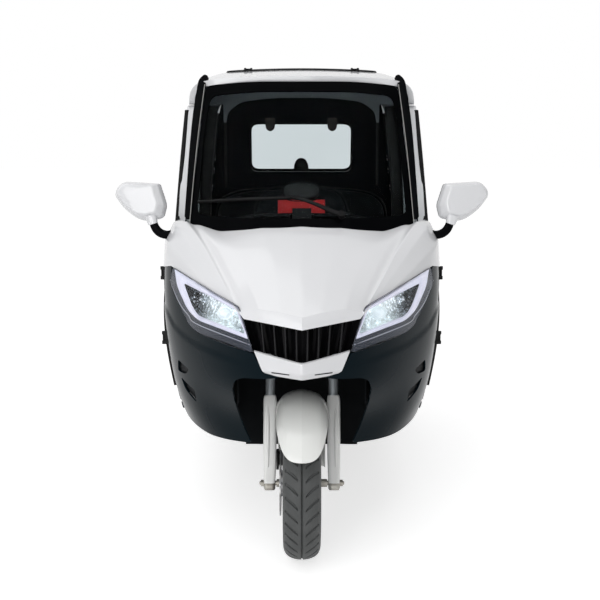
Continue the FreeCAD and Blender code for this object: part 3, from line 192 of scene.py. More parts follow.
def grid_faces(rows, columns, round_rows=False, round_columns=False):
    """The four-sided faces of a grid of places, rows by columns, closed on itself where asked."""
    r = np.arange(rows if round_rows else rows - 1)[:, None]
    c = np.arange(columns if round_columns else columns - 1)[None, :]
    r1 = (r + 1) % rows
    c1 = (c + 1) % columns
    corners = [r * columns + c, r * columns + c1, r1 * columns + c1, r1 * columns + c]
    return np.stack([np.broadcast_to(k, (r.size, c.size)) for k in corners], -1).reshape(-1, 4)


def add_piece(name, form, material, body, stands_for=(), seen_from=None, sharp=32):
    """A new piece from its form, a pair of whole arrays of places and faces. Doubles are merged, which also closes
    poles and seams. A closed shape's faces are turned outwards, and an open sheet's away from seen_from."""
    points, faces = form
    mesh = bpy.data.meshes.new(name)
    mesh.from_pydata(np.asarray(points, float).reshape(-1, 3).tolist(), [], np.asarray(faces).tolist())
    shape = bmesh.new()
    shape.from_mesh(mesh)
    bmesh.ops.remove_doubles(shape, verts=shape.verts, dist=2e-5)
    bmesh.ops.recalc_face_normals(shape, faces=shape.faces)
    shape.to_mesh(mesh)
    if seen_from is not None:
        away = values_of(mesh.polygons, "center", 3) - np.array(seen_from)
        outward = (away * values_of(mesh.polygons, "normal", 3)).sum(1)
        if (values_of(mesh.polygons, "area", 1)[:, 0] * outward).sum() < 0:
            bmesh.ops.reverse_faces(shape, faces=shape.faces)
            shape.to_mesh(mesh)
    shape.free()
    mesh.polygons.foreach_set("use_smooth", np.ones(len(mesh.polygons), bool))
    mesh.set_sharp_from_angle(angle=math.radians(sharp))
    piece = bpy.data.objects.new(name, mesh)
    bpy.context.scene.collection.objects.link(piece)
    mesh.materials.append(material)
    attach(piece, body)
    if stands_for:
        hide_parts(*stands_for)
    return piece


def smooth_step(value, low, high):
    """0 below low, 1 above high, and the usual cubic ease between them."""
    t = np.clip((value - low) / (high - low), 0, 1)
    return t * t * (3 - 2 * t)


def tread_depth(x, run):
    """How deep the tread is cut at a distance x from the middle and a run along the tyre: the deepest of a
    straight middle groove, and of slashes whose run grows with the root of their distance from the middle."""
    across = np.abs(x)
    middle = 1 - smooth_step(across, 0.0012, 0.0026)
    pitch = 2 * math.pi * TYRE_HALF[0][1] / SLASHES
    share = np.clip((across - 0.012) / 0.036, 0, 1)
    phase = (run - 0.034 * share ** 0.8) / pitch + np.where(x > 0, 0.12, 0)
    off = np.abs(phase - np.round(phase)) * pitch * 0.72
    wide = 0.0009 + 0.0016 * smooth_step(share, 0, 0.35)
    slash = (1 - smooth_step(off, wide, wide + 0.0016)) * smooth_step(across, 0.011, 0.014)
    slash = slash * (1 - smooth_step(across, 0.0505, 0.0535))
    return GROOVE_DEPTH * np.maximum(middle, slash)


def tyre(x, y):
    """A tyre turned about X: a half profile mirrored into a smooth crown and walls, closed at the rim."""
    half = np.array(TYRE_HALF)
    last = len(half) - 1
    tread = np.linspace(-3.3, 3.3, 65)
    wall = np.linspace(3.3, last, 13)[1:]
    profile = natural_weights(np.arange(-last, last + 1), np.concatenate([-wall[::-1], tread, wall])) @ mirrored(half)
    foot = np.array([[BEAD_FOOT[0], BEAD_FOOT[1]], [0.012, BEAD_FOOT[1]], [-0.012, BEAD_FOOT[1]],
                     [-BEAD_FOOT[0], BEAD_FOOT[1]]])
    profile = np.concatenate([profile, foot])
    turn = full_turn(TREAD_STEPS)[:, None]
    across = profile[None, :, 0] + 0 * turn
    radius = profile[None, :, 1] - tread_depth(across, turn * TYRE_HALF[0][1]) * (profile[None, :, 1] > 0.215)
    points = np.stack([x + across, AXLE_Y + y - radius * np.cos(turn), AXLE_Z + radius * np.sin(turn)], -1)
    return points, grid_faces(TREAD_STEPS, len(profile), True, True)


for end, side, x, y in WHEELS:
    add_piece(end + "_tyre" + side + "_tread", tyre(x, y), RUBBER, end + "_wheel" + side,
              (end + "_tyre" + side,))

# The rims: cast alloy, turned at the bead seats and left as cast between five tapering spokes. The front one
# also carries a steel brake disc on the picture's left.
CAST_ALLOY = finish("cast_alloy", (0.56, 0.57, 0.59), (0.45, 0.46, 0.48), 12, 0.3, 0.15, 500, 0.08, Metallic=0.85)
DISC_STEEL = finish("ground_disc_steel", (0.36, 0.37, 0.38), (0.28, 0.27, 0.26), 25, 0.25, 0.15, 900, 0.05,
                    Metallic=1.0)
RIM_PROFILE = [(-0.044, 0.1635), (-0.0405, 0.1635), (-0.0385, 0.1525), (-0.024, 0.1500), (-0.012, 0.1360),
               (0.012, 0.1360), (0.024, 0.1500), (0.0385, 0.1525), (0.0405, 0.1635), (0.044, 0.1635),
               (0.044, 0.1465), (0.020, 0.1440), (0.012, 0.1290), (-0.012, 0.1290), (-0.020, 0.1440), (-0.044, 0.1465)]
HUB_PROFILE = [(-0.052, 0.0085), (-0.052, 0.026), (-0.046, 0.033), (0.046, 0.033), (0.052, 0.026), (0.052, 0.0085)]
SPOKES = 5
DISC_RADIUS = 0.105


def turned(profile, x, y, z, steps=96):
    """A ring about X from a closed profile of (across, radius)."""
    profile = np.array(profile)
    turn = full_turn(steps)[:, None]
    across = profile[None, :, 0] + 0 * turn
    radius = profile[None, :, 1] + 0 * turn
    points = np.stack([x + across, AXLE_Y + y + radius * np.sin(turn), z + radius * np.cos(turn)], -1)
    return points.reshape(-1, 3), grid_faces(steps, len(profile), True, True)


def joined(parts):
    """Several (points, faces) as one mesh."""
    points = []
    faces = []
    start = 0
    for part_points, part_faces in parts:
        part_points = np.asarray(part_points).reshape(-1, 3)
        points.append(part_points)
        faces.append(np.asarray(part_faces) + start)
        start += len(part_points)
    return np.concatenate(points), np.concatenate(faces)


def squircle(turn, power):
    """How far out |a|^p + |b|^p = 1 lies at each angle."""
    return (np.abs(np.cos(turn)) ** power + np.abs(np.sin(turn)) ** power) ** (-1 / power)


def spoke(angle, x, y):
    """One spoke: a rounded box section carried out from the hub, its width and depth eased to a waist, and
    turned about the axle by the angle."""
    out = np.linspace(0, 1, 17)[:, None]
    around = full_turn(24)[None, :]
    radius = 0.028 + out * 0.110
    wide = 0.0185 - 0.0075 * np.sin(out * math.pi) ** 0.8 + 0.006 * out
    deep = 0.015 - 0.004 * np.sin(out * math.pi) + 0 * out
    box = squircle(around, 4)
    across = x + deep * box * np.cos(around)
    along = wide * box * np.sin(around)
    points = np.stack([across + 0 * radius, AXLE_Y + y + along * math.cos(angle) + radius * math.sin(angle),
                       AXLE_Z - along * math.sin(angle) + radius * math.cos(angle)], -1)
    middle = points.mean(1, keepdims=True)
    points = np.concatenate([points * 0 + middle, points])[[0] + list(range(17, 34))]
    points = np.concatenate([points, points[-1:] * 0 + middle[-1:]])
    return points.reshape(-1, 3), grid_faces(len(points), 24, False, True)


for end, side, x, y in WHEELS:
    parts = [turned(RIM_PROFILE, x, y, AXLE_Z), turned(HUB_PROFILE, x, y, AXLE_Z, 48)]
    parts += [spoke(2 * math.pi * k / SPOKES, x, y) for k in range(SPOKES)]
    add_piece(end + "_rim" + side + "_casting", joined(parts), CAST_ALLOY, end + "_wheel" + side,
              (end + "_rim" + side,))


def brake_disc():
    """The disc: a flat ring whose inner edge waves in a lobe for each spoke, on a carrier that reaches the hub."""
    steps = 160
    turn = full_turn(steps)[:, None]
    inner = 0.072 + 0.005 * np.cos(SPOKES * turn)
    outer = DISC_RADIUS + 0.0012 * np.cos(20 * turn)
    near, far = -0.068, -0.072
    radius = np.concatenate([inner, outer, outer, inner], 1)
    across = np.array([[near, near, far, far]]) + 0 * turn
    ring = np.stack([across, AXLE_Y + radius * np.sin(turn), AXLE_Z + radius * np.cos(turn)], -1)
    carrier = turned([(-0.0695, 0.079), (-0.0705, 0.079), (-0.0705, 0.045), (-0.052, 0.030), (-0.050, 0.030),
                      (-0.0675, 0.045)], 0, 0, AXLE_Z, 60)
    return joined([(ring.reshape(-1, 3), grid_faces(steps, 4, True, True)), carrier])


add_piece("brake_disc", brake_disc(), DISC_STEEL, "front_wheel")

# The front fork: two bright tubes that slide in moulded white legs, clamped above by a plate on the steering
# stem. The legs carry the spindle with its spacers and nuts, and a small caliper on the picture's left.
# Lighter than the body's white paint: painted light that makes up for the shade the legs and lugs stand in under the
# nose.
WHITE_LEG_PAINTED_LIGHT = finish("white_leg_enamel_painted_light", (0.84, 0.845, 0.83), (0.80, 0.805, 0.79), 5, 0.3, 0.1, 500, 0.05,
                   Coat_Weight=0.3)
BRIGHT_TUBE = finish("plated_tube", (0.64, 0.68, 0.71), (0.52, 0.57, 0.61), 12, 0.26, 0.08, 200, 0.01, Metallic=0.6)
ZINC = finish("zinc_plate", (0.36, 0.35, 0.32), (0.27, 0.25, 0.22), 40, 0.35, 0.2, 600, 0.1, Metallic=0.9)
CALIPER_BLACK = finish("caliper_black", (0.015, 0.015, 0.017), (0.03, 0.03, 0.03), 20, 0.4, 0.2, 500, 0.2)
RAKE = math.radians(24)
FORK_OFFSET = 0.035
HALF_SPACING = 0.106


def fork_place(along, across, x):
    """Places in the fork's own frame: along its rake from the axle upwards, and across it to the rear."""
    along = np.asarray(along, float)
    across = np.asarray(across, float)
    y = along * math.sin(RAKE) + across * math.cos(RAKE)
    z = AXLE_Z + along * math.cos(RAKE) - across * math.sin(RAKE)
    return np.stack(np.broadcast_arrays(np.asarray(x, float), AXLE_Y + y, z), -1)


def unit(ways):
    """Each row made one long."""
    return ways / np.linalg.norm(ways, axis=1, keepdims=True)


def square_to(ways, side):
    """Two unit directions square to each row's way: the nearest to the side direction, and the one beyond it."""
    along = unit(ways)
    first = unit(np.asarray(side, float) - along * (along @ np.asarray(side, float))[:, None])
    return first, np.cross(along, first)


def swept(path, half_a, half_b, side, power=2.0, samples=40, around=20):
    """A closed bar along a smooth spline through the path's points. Its section is |a/A|^p + |b/B|^p = 1, with a
    along the side direction and b square to it and to the path, and A and B splined along the path too."""
    path = np.asarray(path, float)
    knots = np.arange(len(path))
    at = np.linspace(0, len(path) - 1, samples)
    weights = natural_weights(knots, at) if len(path) > 2 else np.stack([1 - at, at], 1)
    line = weights @ path
    a = weights @ (np.zeros(len(path)) + half_a)
    b = weights @ (np.zeros(len(path)) + half_b)
    first, second = square_to(np.gradient(line, axis=0), side)
    turn = full_turn(around)
    size = squircle(turn, power)
    ring = first[:, None] * (a[:, None] * size * np.cos(turn))[..., None]
    ring = line[:, None] + ring + second[:, None] * (b[:, None] * size * np.sin(turn))[..., None]
    rows = np.concatenate([ring[:1] * 0 + line[0], ring, ring[-1:] * 0 + line[-1]])
    return rows.reshape(-1, 3), grid_faces(len(rows), around, False, True)


def bar(start, end, radius, around=24):
    """A straight round bar with flat ends."""
    side = (0, 0, 1) if abs(end[2] - start[2]) < 0.7 * math.dist(start, end) else (1, 0, 0)
    return swept([start, end], radius, radius, side, samples=2, around=around)


def fork_leg(x, sign):
    """A moulded leg: a rounded box section, deep at the axle lug, waisted above it and squared at its top."""
    along = [-0.022, -0.006, 0.030, 0.110, 0.200, 0.262, 0.286]
    path = fork_place(along, [0, 0, 0.002, 0.004, 0.002, 0, 0], x)
    half_wide = [0.0135, 0.0175, 0.0200, 0.0215, 0.0222, 0.0228, 0.0205]
    half_deep = [0.019, 0.0245, 0.0235, 0.026, 0.0285, 0.0275, 0.0240]
    leg = swept(path, half_wide, half_deep, (1, 0, 0), power=5, samples=64, around=40)
    rib = swept(fork_place([0.05, 0.12, 0.2, 0.25], [-0.022, -0.0235, -0.0265, -0.026], x + sign * 0.006),
                [0.003, 0.0055, 0.0055, 0.003], [0.002, 0.004, 0.0045, 0.002], (1, 0, 0), samples=30, around=16)
    return [leg, rib]


add_piece("fork_leg_mouldings", joined(fork_leg(-HALF_SPACING, -1) + fork_leg(HALF_SPACING, 1)), WHITE_LEG_PAINTED_LIGHT, "steering",
          ("fork_legs",))


def hex_nut(x, sign, half):
    """A hexagon nut with a washer, and the spindle's rounded end beyond it."""
    return [turned([(x, 0.002), (x, half), (x + sign * 0.010, half), (x + sign * 0.010, 0.002)], 0, 0, AXLE_Z, 6),
            turned([(x - sign * 0.002, 0.002), (x - sign * 0.002, half * 1.2), (x, half * 1.2), (x, 0.002)], 0, 0,
                   AXLE_Z, 32),
            turned([(x + sign * 0.009, 0.001), (x + sign * 0.009, 0.0065), (x + sign * 0.014, 0.0055),
                    (x + sign * 0.0155, 0.001)], 0, 0, AXLE_Z, 24)]


parts = [turned([(-0.126, 0.001), (-0.126, 0.008), (0.126, 0.008), (0.126, 0.001)], 0, 0, AXLE_Z, 24)]
for sign in (-1, 1):
    parts.append(turned([(sign * 0.053, 0.008), (sign * 0.053, 0.013), (sign * 0.083, 0.013), (sign * 0.083, 0.008)],
                        0, 0, AXLE_Z, 32))
    parts += hex_nut(sign * 0.1245, sign, 0.0115)
    parts.append(swept(fork_place([-0.0235, -0.016, -0.006], [0, 0, 0.001], sign * HALF_SPACING),
                       [0.0150, 0.0187, 0.0187], [0.0200, 0.0255, 0.0255], (1, 0, 0), power=5, samples=16, around=40))
add_piece("front_spindle", joined(parts), ZINC, "steering")


def caliper():
    """The caliper: two rounded cheeks each side of the disc, joined over its rim by a bridge."""
    parts = []
    for x, half in ((-0.081, 0.0045), (-0.0605, 0.0045)):
        path = fork_place([0.048, 0.062, 0.080, 0.096, 0.108], [0.044, 0.046, 0.052, 0.046, 0.036], x)
        parts.append(swept(path, half, [0.014, 0.030, 0.032, 0.030, 0.014], (1, 0, 0), power=4, samples=30, around=28))
    bridge = fork_place([0.066, 0.090, 0.108], [0.078, 0.072, 0.056], -0.071)
    parts.append(swept(bridge, 0.012, [0.007, 0.010, 0.007], (1, 0, 0), power=4, samples=20, around=24))
    return joined(parts)


add_piece("front_caliper", caliper(), CALIPER_BLACK, "steering")

parts = []
for x in (-HALF_SPACING, HALF_SPACING):
    parts.append(bar(fork_place(0.250, 0, x), fork_place(0.512, 0, x), 0.0158, 40))
    parts.append(swept(fork_place([0.284, 0.292], [0, 0], x), 0.0190, 0.0190, (1, 0, 0), samples=3, around=32))
add_piece("fork_tubes", joined(parts), BRIGHT_TUBE, "steering", ("fork_yoke",))


def yoke_plate():
    """The lower clamp: a plate across the fork, thick at the tubes and at the stem, and the stem itself."""
    path = fork_place([0.495] * 5, [0, 0.010, FORK_OFFSET * 0.9, 0.010, 0],
                      [-HALF_SPACING, -0.06, 0, 0.06, HALF_SPACING])
    plate = swept(path, 0.017, [0.024, 0.024, 0.034, 0.024, 0.024], (0, math.sin(RAKE), math.cos(RAKE)), power=6,
                  samples=48, around=24)
    ends = [swept(fork_place([0.478, 0.512], [0, 0], x), 0.024, 0.024, (1, 0, 0), samples=2, around=32)
            for x in (-HALF_SPACING, HALF_SPACING)]
    stem = bar(fork_place(0.500, FORK_OFFSET, 0.0), fork_place(0.925, FORK_OFFSET, 0.0), 0.0148, 32)
    return joined([plate, stem] + ends)


add_piece("fork_yoke_clamp", yoke_plate(), CALIPER_BLACK, "steering")

# The fender: one white moulding round the front of the tyre, with a ridge along its middle, a crease low on
# each flank and a nose cut to a point. Two lugs seat it on the fork's legs.
# Lighter than the body's white paint: painted light that makes up for the shade the fender lies in under the nose.
WHITE_FENDER_PAINTED_LIGHT = finish("white_fender_enamel_painted_light", (0.84, 0.85, 0.825), (0.81, 0.82, 0.80), 4, 0.2, 0.08, 420, 0.03,
                      Coat_Weight=0.6, Coat_Roughness=0.05)
FENDER_HALF = [(0.0, 0.3080), (0.016, 0.3056), (0.032, 0.3022), (0.047, 0.2972), (0.058, 0.2915), (0.066, 0.2835),
               (0.0745, 0.2720), (0.0805, 0.2610), (0.0840, 0.2500)]
FENDER_REAR = math.radians(97)
FENDER_SOFT = 0.3


def bent_weights(count, at, soft):
    """Weights of the straight runs through evenly spaced knots, each bend rounded by averaging over soft to each
    side. Past the ends the last run goes straight on, so the ends keep their places."""
    at = np.ravel(np.asarray(at, float))
    offsets = np.linspace(-1, 1, 9) * soft
    share = 1 - np.abs(np.linspace(-1, 1, 9)) * 0.9
    share /= share.sum()
    unit = np.eye(count)
    total = np.zeros((len(at), count))
    for offset, part in zip(offsets, share):
        k = np.clip(np.floor(at + offset), 0, count - 2).astype(int)
        t = (at + offset - k)[:, None]
        total += part * ((1 - t) * unit[k] + t * unit[k + 1])
    return total


def fender_sheet():
    """The fender's outer face: a half section bent from the ridge to the edge, mirrored, and turned about the
    axle from the rear lip to where a rising curve cuts the nose."""
    half = np.array(FENDER_HALF)
    share = np.linspace(0, 1, 41)
    section = bent_weights(len(half), share * (len(half) - 1), FENDER_SOFT) @ half
    x, radius = mirrored(section).T
    nose = 0.401 + 0.079 * np.abs(x / 0.084) ** 3.6
    front = np.arccos(np.clip((nose - AXLE_Z) / radius, -1, 1))
    at = np.linspace(0, 1, 72)[:, None]
    turn = -FENDER_REAR + at * (front + FENDER_REAR)
    points = np.stack([x + 0 * turn, AXLE_Y - radius * np.sin(turn), AXLE_Z + radius * np.cos(turn)], -1)
    return points, grid_faces(72, len(x))


def walls(piece, thick, bevel=0.0004, segments=2):
    """Gives a sheet its wall, inwards from its face, and rounds the wall's edges."""
    wall = piece.modifiers.new("wall", "SOLIDIFY")
    wall.thickness = thick
    wall.offset = -1.0
    edge = piece.modifiers.new("edge", "BEVEL")
    edge.width = bevel
    edge.segments = segments
    edge.limit_method = "ANGLE"
    edge.angle_limit = math.radians(50)
    edge.harden_normals = True


fender = add_piece("fender_moulding", fender_sheet(), WHITE_FENDER_PAINTED_LIGHT, "steering", ("front_fender",),
                   seen_from=(0, AXLE_Y, AXLE_Z), sharp=9)
walls(fender, 0.0038, 0.0012)
parts = []
for sign in (-1, 1):
    start = (sign * 0.079, AXLE_Y + 0.255 * math.sin(RAKE), AXLE_Z + 0.255 * math.cos(RAKE))
    parts.append(bar(start, (sign * 0.0845, start[1], start[2]), 0.0135))
add_piece("fender_lugs", joined(parts), WHITE_LEG_PAINTED_LIGHT, "steering")

# The handlebar, the arch liner, the floor and the rear deck: bent tube with rubber grips, and moulded black
# plastic liners. The floor's mat has a fine grain, and the liners are left rough.
GRIP_BLACK = finish("handlebar_black", (0.0035, 0.004, 0.005), (0.007, 0.0075, 0.0085), 30, 0.4, 0.2, 900, 0.2,
                    Specular_IOR_Level=0.08)
LINER_BLACK = finish("liner_plastic", (0.005, 0.006, 0.007), (0.009, 0.010, 0.011), 6, 0.65, 0.2, 800, 0.5,
                     Specular_IOR_Level=0.05)
MAT_BLACK = finish("floor_mat", (0.013, 0.014, 0.015), (0.022, 0.023, 0.024), 10, 0.8, 0.1, 1200, 0.6)
dress(GRIP_BLACK, "handlebar")
dress(LINER_BLACK, "arch_liner", "dash")
dress(MAT_BLACK, "floor_pan", "rear_deck")
x, z = np.meshgrid(np.linspace(-0.205, 0.205, 41), np.linspace(0.252, 0.306, 9), indexing="ij")
y = AXLE_Y + 0.392 + 0.0015 * np.sin(x * 60) * (0.306 - z) / 0.054
flap = add_piece("arch_flap", (np.stack([x, y, z], -1), grid_faces(41, 9)), LINER_BLACK, "chassis",
                 seen_from=(0, AXLE_Y + 1, 0.3))
walls(flap, 0.003)

# The cowl: one deep slate moulding that wraps the nose from door to door, cut out round the lamps and over the
# wheel. Two slanted vents stand one over the other near each door, with black inserts behind them.
SLATE_PAINT = finish("slate_body_paint", (0.0042, 0.0100, 0.0140), (0.0030, 0.0078, 0.0112), 2.0, 0.17, 0.06, 260,
                     0.02, Specular_IOR_Level=0.03)
VENT_BLACK = finish("vent_insert", (0.004, 0.005, 0.006), (0.008, 0.009, 0.010), 20, 0.55, 0.2, 900, 0.3,
                    Specular_IOR_Level=0.1)
COWL_REAR = 0.452
COLUMN_WIDTH = 0.17
STYLE_STEP = 0.004
NOSE_HEIGHTS = (0.340, 0.468, 0.596, 0.724, 0.852, 0.980)
NOSE_TABLE = mirrored([
    [(0, -0.040), (0.160, 0.046), (0.300, 0.176), (0.385, 0.322), (0.428, 0.470)],
    [(0, -0.096), (0.188, 0.002), (0.345, 0.136), (0.433, 0.306), (0.466, 0.470)],
    [(0, -0.200), (0.200, -0.114), (0.366, 0.095), (0.458, 0.300), (0.485, 0.470)],
    [(0, -0.236), (0.204, -0.146), (0.379, 0.094), (0.473, 0.300), (0.497, 0.470)],
    [(0, -0.250), (0.208, -0.146), (0.386, 0.106), (0.478, 0.300), (0.500, 0.470)],
    [(0, -0.240), (0.214, -0.118), (0.392, 0.128), (0.474, 0.300), (0.492, 0.470)]])
COWL_EDGE = [(0.070, 0.652), (0.100, 0.645), (0.183, 0.636), (0.210, 0.620), (0.220, 0.591), (0.215, 0.519),
             (0.196, 0.433), (0.168, 0.367), (0.254, 0.356), (0.320, 0.353), (0.376, 0.363), (0.422, 0.374),
             (0.441, 0.383), (0.600, 0.388), (0.600, 0.916), (0.480, 0.922), (0.4455, 0.9325), (0.4535, 0.8770),
             (0.3728, 0.7575), (0.3466, 0.7430), (0.1480, 0.7213), (0.138, 0.700), (0.112, 0.676), (0.078, 0.660)]
COWL_ROUND = [0.004, 0.02, 0.05, 0.03, 0.03, 0.08, 0.08, 0.012, 0.05, 0.05, 0.05, 0.05, 0.03, 0.001,
              0.001, 0.03, 0.012, 0.012, 0.03, 0.03, 0.004, 0.02, 0.02, 0.01]
VENTS = [[(0.4242, 0.6164), (0.3772, 0.5994), (0.3925, 0.5753), (0.4283, 0.5696)],
         [(0.4167, 0.5531), (0.3603, 0.5277), (0.3571, 0.4780), (0.3993, 0.5124)]]
STYLE_LINE = np.array([(0.52, 0.800), (0.4712, 0.7662), (0.4404, 0.7307), (0.3973, 0.7121), (0.3545, 0.7010),
                       (0.24, 0.690), (0.12, 0.684)])


def tensor(table, along_rows, along_columns):
    """Places on the surface through a table of places (rows, columns, coordinates): the table's values weighted
    along its rows and along its columns."""
    return np.einsum("nr,nc,rck->kn", along_rows, along_columns, table)


def nose(column, z):
    """The nose at a column, counted outwards from the middle, and a height: x and y splined both ways."""
    return tensor(NOSE_TABLE, natural_weights(NOSE_HEIGHTS, z), natural_weights(np.arange(-4, 5), column))


def halved(rises, low, high):
    """Where a rising function crosses nought, found by halving the span from low to high."""
    for _ in range(26):
        middle = (low + high) / 2
        below = rises(middle) < 0
        low = np.where(below, middle, low)
        high = np.where(below, high, middle)
    return (low + high) / 2


def nose_column(x, z):
    """The column of a place seen from the front, or of the cowl's rear edge where that comes first."""
    low = np.zeros(len(x))
    by_x = halved(lambda column: nose(column, z)[0] - x, low, low + 4)
    return np.minimum(by_x, halved(lambda column: nose(column, z)[1] - COWL_REAR, low + 2, low + 4))


def nose_place(column, z, out=0.0):
    """A place on the nose, moved out along the surface's normal, which is the cross product of its slopes."""
    step = 1e-3
    here = np.stack([*nose(column, z), z], -1)
    by_column = np.stack([*nose(column + step, z), z], -1) - here
    by_height = np.stack([*nose(column, z + step), z + step], -1) - here
    return here + unit(np.cross(by_column, by_height)) * np.reshape(out, (-1, 1)) + (0, AXLE_Y, 0)


def rounded(corners, radius, turns=7):
    """A closed outline with its corners rounded: each becomes a parabola between points cut back along its sides,
    by the radius or by 0.45 of the shorter side. Every outline with as many corners has as many points."""
    corners = np.asarray(corners, float)
    before = np.roll(corners, 1, 0) - corners
    after = np.roll(corners, -1, 0) - corners
    back = np.linalg.norm(before, axis=1, keepdims=True)
    ahead = np.linalg.norm(after, axis=1, keepdims=True)
    cut = np.minimum(np.broadcast_to(np.reshape(radius, (-1, 1)), back.shape), 0.45 * np.minimum(back, ahead))
    start = corners + before / back * cut
    end = corners + after / ahead * cut
    t = np.linspace(0, 1, turns)[None, :, None]
    curve = start[:, None] * (1 - t) ** 2 + corners[:, None] * 2 * t * (1 - t) + end[:, None] * t ** 2
    return curve.reshape(-1, 2)


def grown(loop, share, corners=None):
    """A loop scaled by a share from the mean of its corners."""
    middle = np.mean(loop if corners is None else corners, 0)
    return middle + (np.asarray(loop) - middle) * share


def divided(outline, spacing):
    """A closed outline with its long sides divided evenly, so that no step is longer than the spacing."""
    ahead = np.roll(outline, -1, 0) - outline
    count = np.maximum(1, np.ceil(np.linalg.norm(ahead, axis=1) / spacing)).astype(int)
    which = np.repeat(np.arange(len(outline)), count)
    share = (np.arange(count.sum()) - np.repeat(np.cumsum(count) - count, count)) / np.repeat(count, count)
    return outline[which] + ahead[which] * share[:, None]


def within(places, outline):
    """Which places lie inside a closed outline: those from which a ray crosses it an odd number of times."""
    x, y = places[:, :1], places[:, 1:]
    x0, y0 = outline.T
    x1, y1 = np.roll(outline, -1, 0).T
    spans = (y0 > y) != (y1 > y)
    run = np.where(y1 == y0, 1, y1 - y0)
    return (spans & (x < x0 + (y - y0) / run * (x1 - x0))).sum(1) % 2 == 1


def region(outline, holes, spacing):
    """A flat region as triangles: its outline, its holes and a lattice of even triangles inside, joined by
    Delaunay's rule with the outlines kept. A triangle stays if its middle is inside."""
    loops = [outline, *holes]
    low, high = outline.min(0), outline.max(0)
    rows = np.arange(low[1], high[1], spacing * 0.866)
    columns = np.arange(low[0], high[0] + spacing, spacing)
    grid_y, grid_x = np.meshgrid(rows, columns, indexing="ij")
    grid_x = grid_x + (np.arange(len(rows)) % 2)[:, None] * spacing / 2
    lattice = np.stack([grid_x.ravel(), grid_y.ravel()], -1)
    lattice = lattice[within(lattice, outline)]
    for loop in loops:
        if loop is not outline:
            lattice = lattice[~within(lattice, loop)]
        near = np.concatenate([((lattice[k:k + 2000, None] - loop) ** 2).sum(2).min(1)
                               for k in range(0, len(lattice), 2000)])
        lattice = lattice[near > (0.62 * spacing) ** 2]
    places = np.concatenate(loops + [lattice])
    edges = []
    start = 0
    for loop in loops:
        i = np.arange(len(loop))
        edges.append(np.stack([i, (i + 1) % len(loop)], -1) + start)
        start += len(loop)
    found, _, faces, *_ = geometry.delaunay_2d_cdt([Vector(p) for p in places.tolist()],
                                                   np.concatenate(edges).tolist(), [], 0, 1e-7)
    found = np.array([tuple(p) for p in found])
    faces = np.array(faces)
    middles = found[faces].mean(1)
    keep = within(middles, outline)
    for hole in holes:
        keep &= ~within(middles, hole)
    return found, faces[keep]


def both_sides(form):
    """A half and its mirror image as one mesh."""
    points, faces = form
    return joined([(points, faces), (points * (-1, 1, 1), faces[:, ::-1])])


def cowl_step(x, z):
    """How far the cowl steps back above its styling line, eased in over 16 mm of height and away from the nose."""
    line = np.interp(np.abs(x), STYLE_LINE[::-1, 0], STYLE_LINE[::-1, 1])
    return -STYLE_STEP * smooth_step(z - line, -0.008, 0.008) * smooth_step(np.abs(x), 0.15, 0.26)


def on_nose(outline, spacing):
    """An outline seen from the front as (column, height), with a column as wide as it is on the nose."""
    outline = divided(outline, spacing)
    return np.stack([nose_column(outline[:, 0], outline[:, 1]) * COLUMN_WIDTH, outline[:, 1]], -1)


vent_loops = [on_nose(rounded(vent, 0.010), 0.006) for vent in VENTS]
places, faces = region(on_nose(rounded(COWL_EDGE, COWL_ROUND), 0.006), vent_loops, 0.010)
columns = places[:, 0] / COLUMN_WIDTH
points = nose_place(columns, places[:, 1], cowl_step(nose(columns, places[:, 1])[0], places[:, 1]))
cowl = add_piece("cowl_moulding", both_sides((points, faces)), SLATE_PAINT, "chassis", ("front_cowl",),
                 seen_from=(0, AXLE_Y + 0.35, 0.62))
walls(cowl, 0.0055, 0.0014)
parts = []
for vent in VENTS:
    loop = on_nose(rounded(grown(vent, 1.12), 0.012), 0.008)
    places, faces = region(loop, [], 0.008)
    depth = -0.0105 + 0.0032 * np.abs(np.sin(places[:, 1] * 210 + places[:, 0] * 60))
    parts.append(both_sides((nose_place(places[:, 0] / COLUMN_WIDTH, places[:, 1], depth), faces)))
add_piece("vent_inserts", joined(parts), VENT_BLACK, "chassis", seen_from=(0, AXLE_Y + 0.35, 0.62))

# The headlamps: a clear lens over a black bezel, a white light guide that runs right round, and a bright bowl
# with a projector on its inner side and a fluted reflector beyond it. They are lit; the bowl's glow round each
# projector is painted lamp light, and the dark patches in its chrome are painted reflections.
LAMP_EDGE = [(0.1907, 0.8590), (0.3043, 0.8968), (0.4367, 0.9325), (0.4510, 0.8778), (0.3714, 0.7595),
             (0.3459, 0.7455), (0.1473, 0.7233)]
GUIDE_EDGE = [(0.1937, 0.8545), (0.3044, 0.8916), (0.4301, 0.9294), (0.4188, 0.8714), (0.3761, 0.8045),
              (0.3397, 0.7835), (0.1603, 0.7610)]
BOWL_EDGE = [(0.2012, 0.8450), (0.2905, 0.8711), (0.3901, 0.8891), (0.3732, 0.8529), (0.3572, 0.8218),
             (0.3358, 0.7987), (0.1727, 0.7763)]
GUIDE_LINE = [(0.4486, 0.8851), (0.4044, 0.8145), (0.3690, 0.7856), (0.3346, 0.7691), (0.1530, 0.7452)]
LAMP_ROUND = [0.008, 0.03, 0.008, 0.02, 0.03, 0.02, 0.008]
GLOW = (0.2402, 0.8258)
FLUTED = (0.3331, 0.8432)


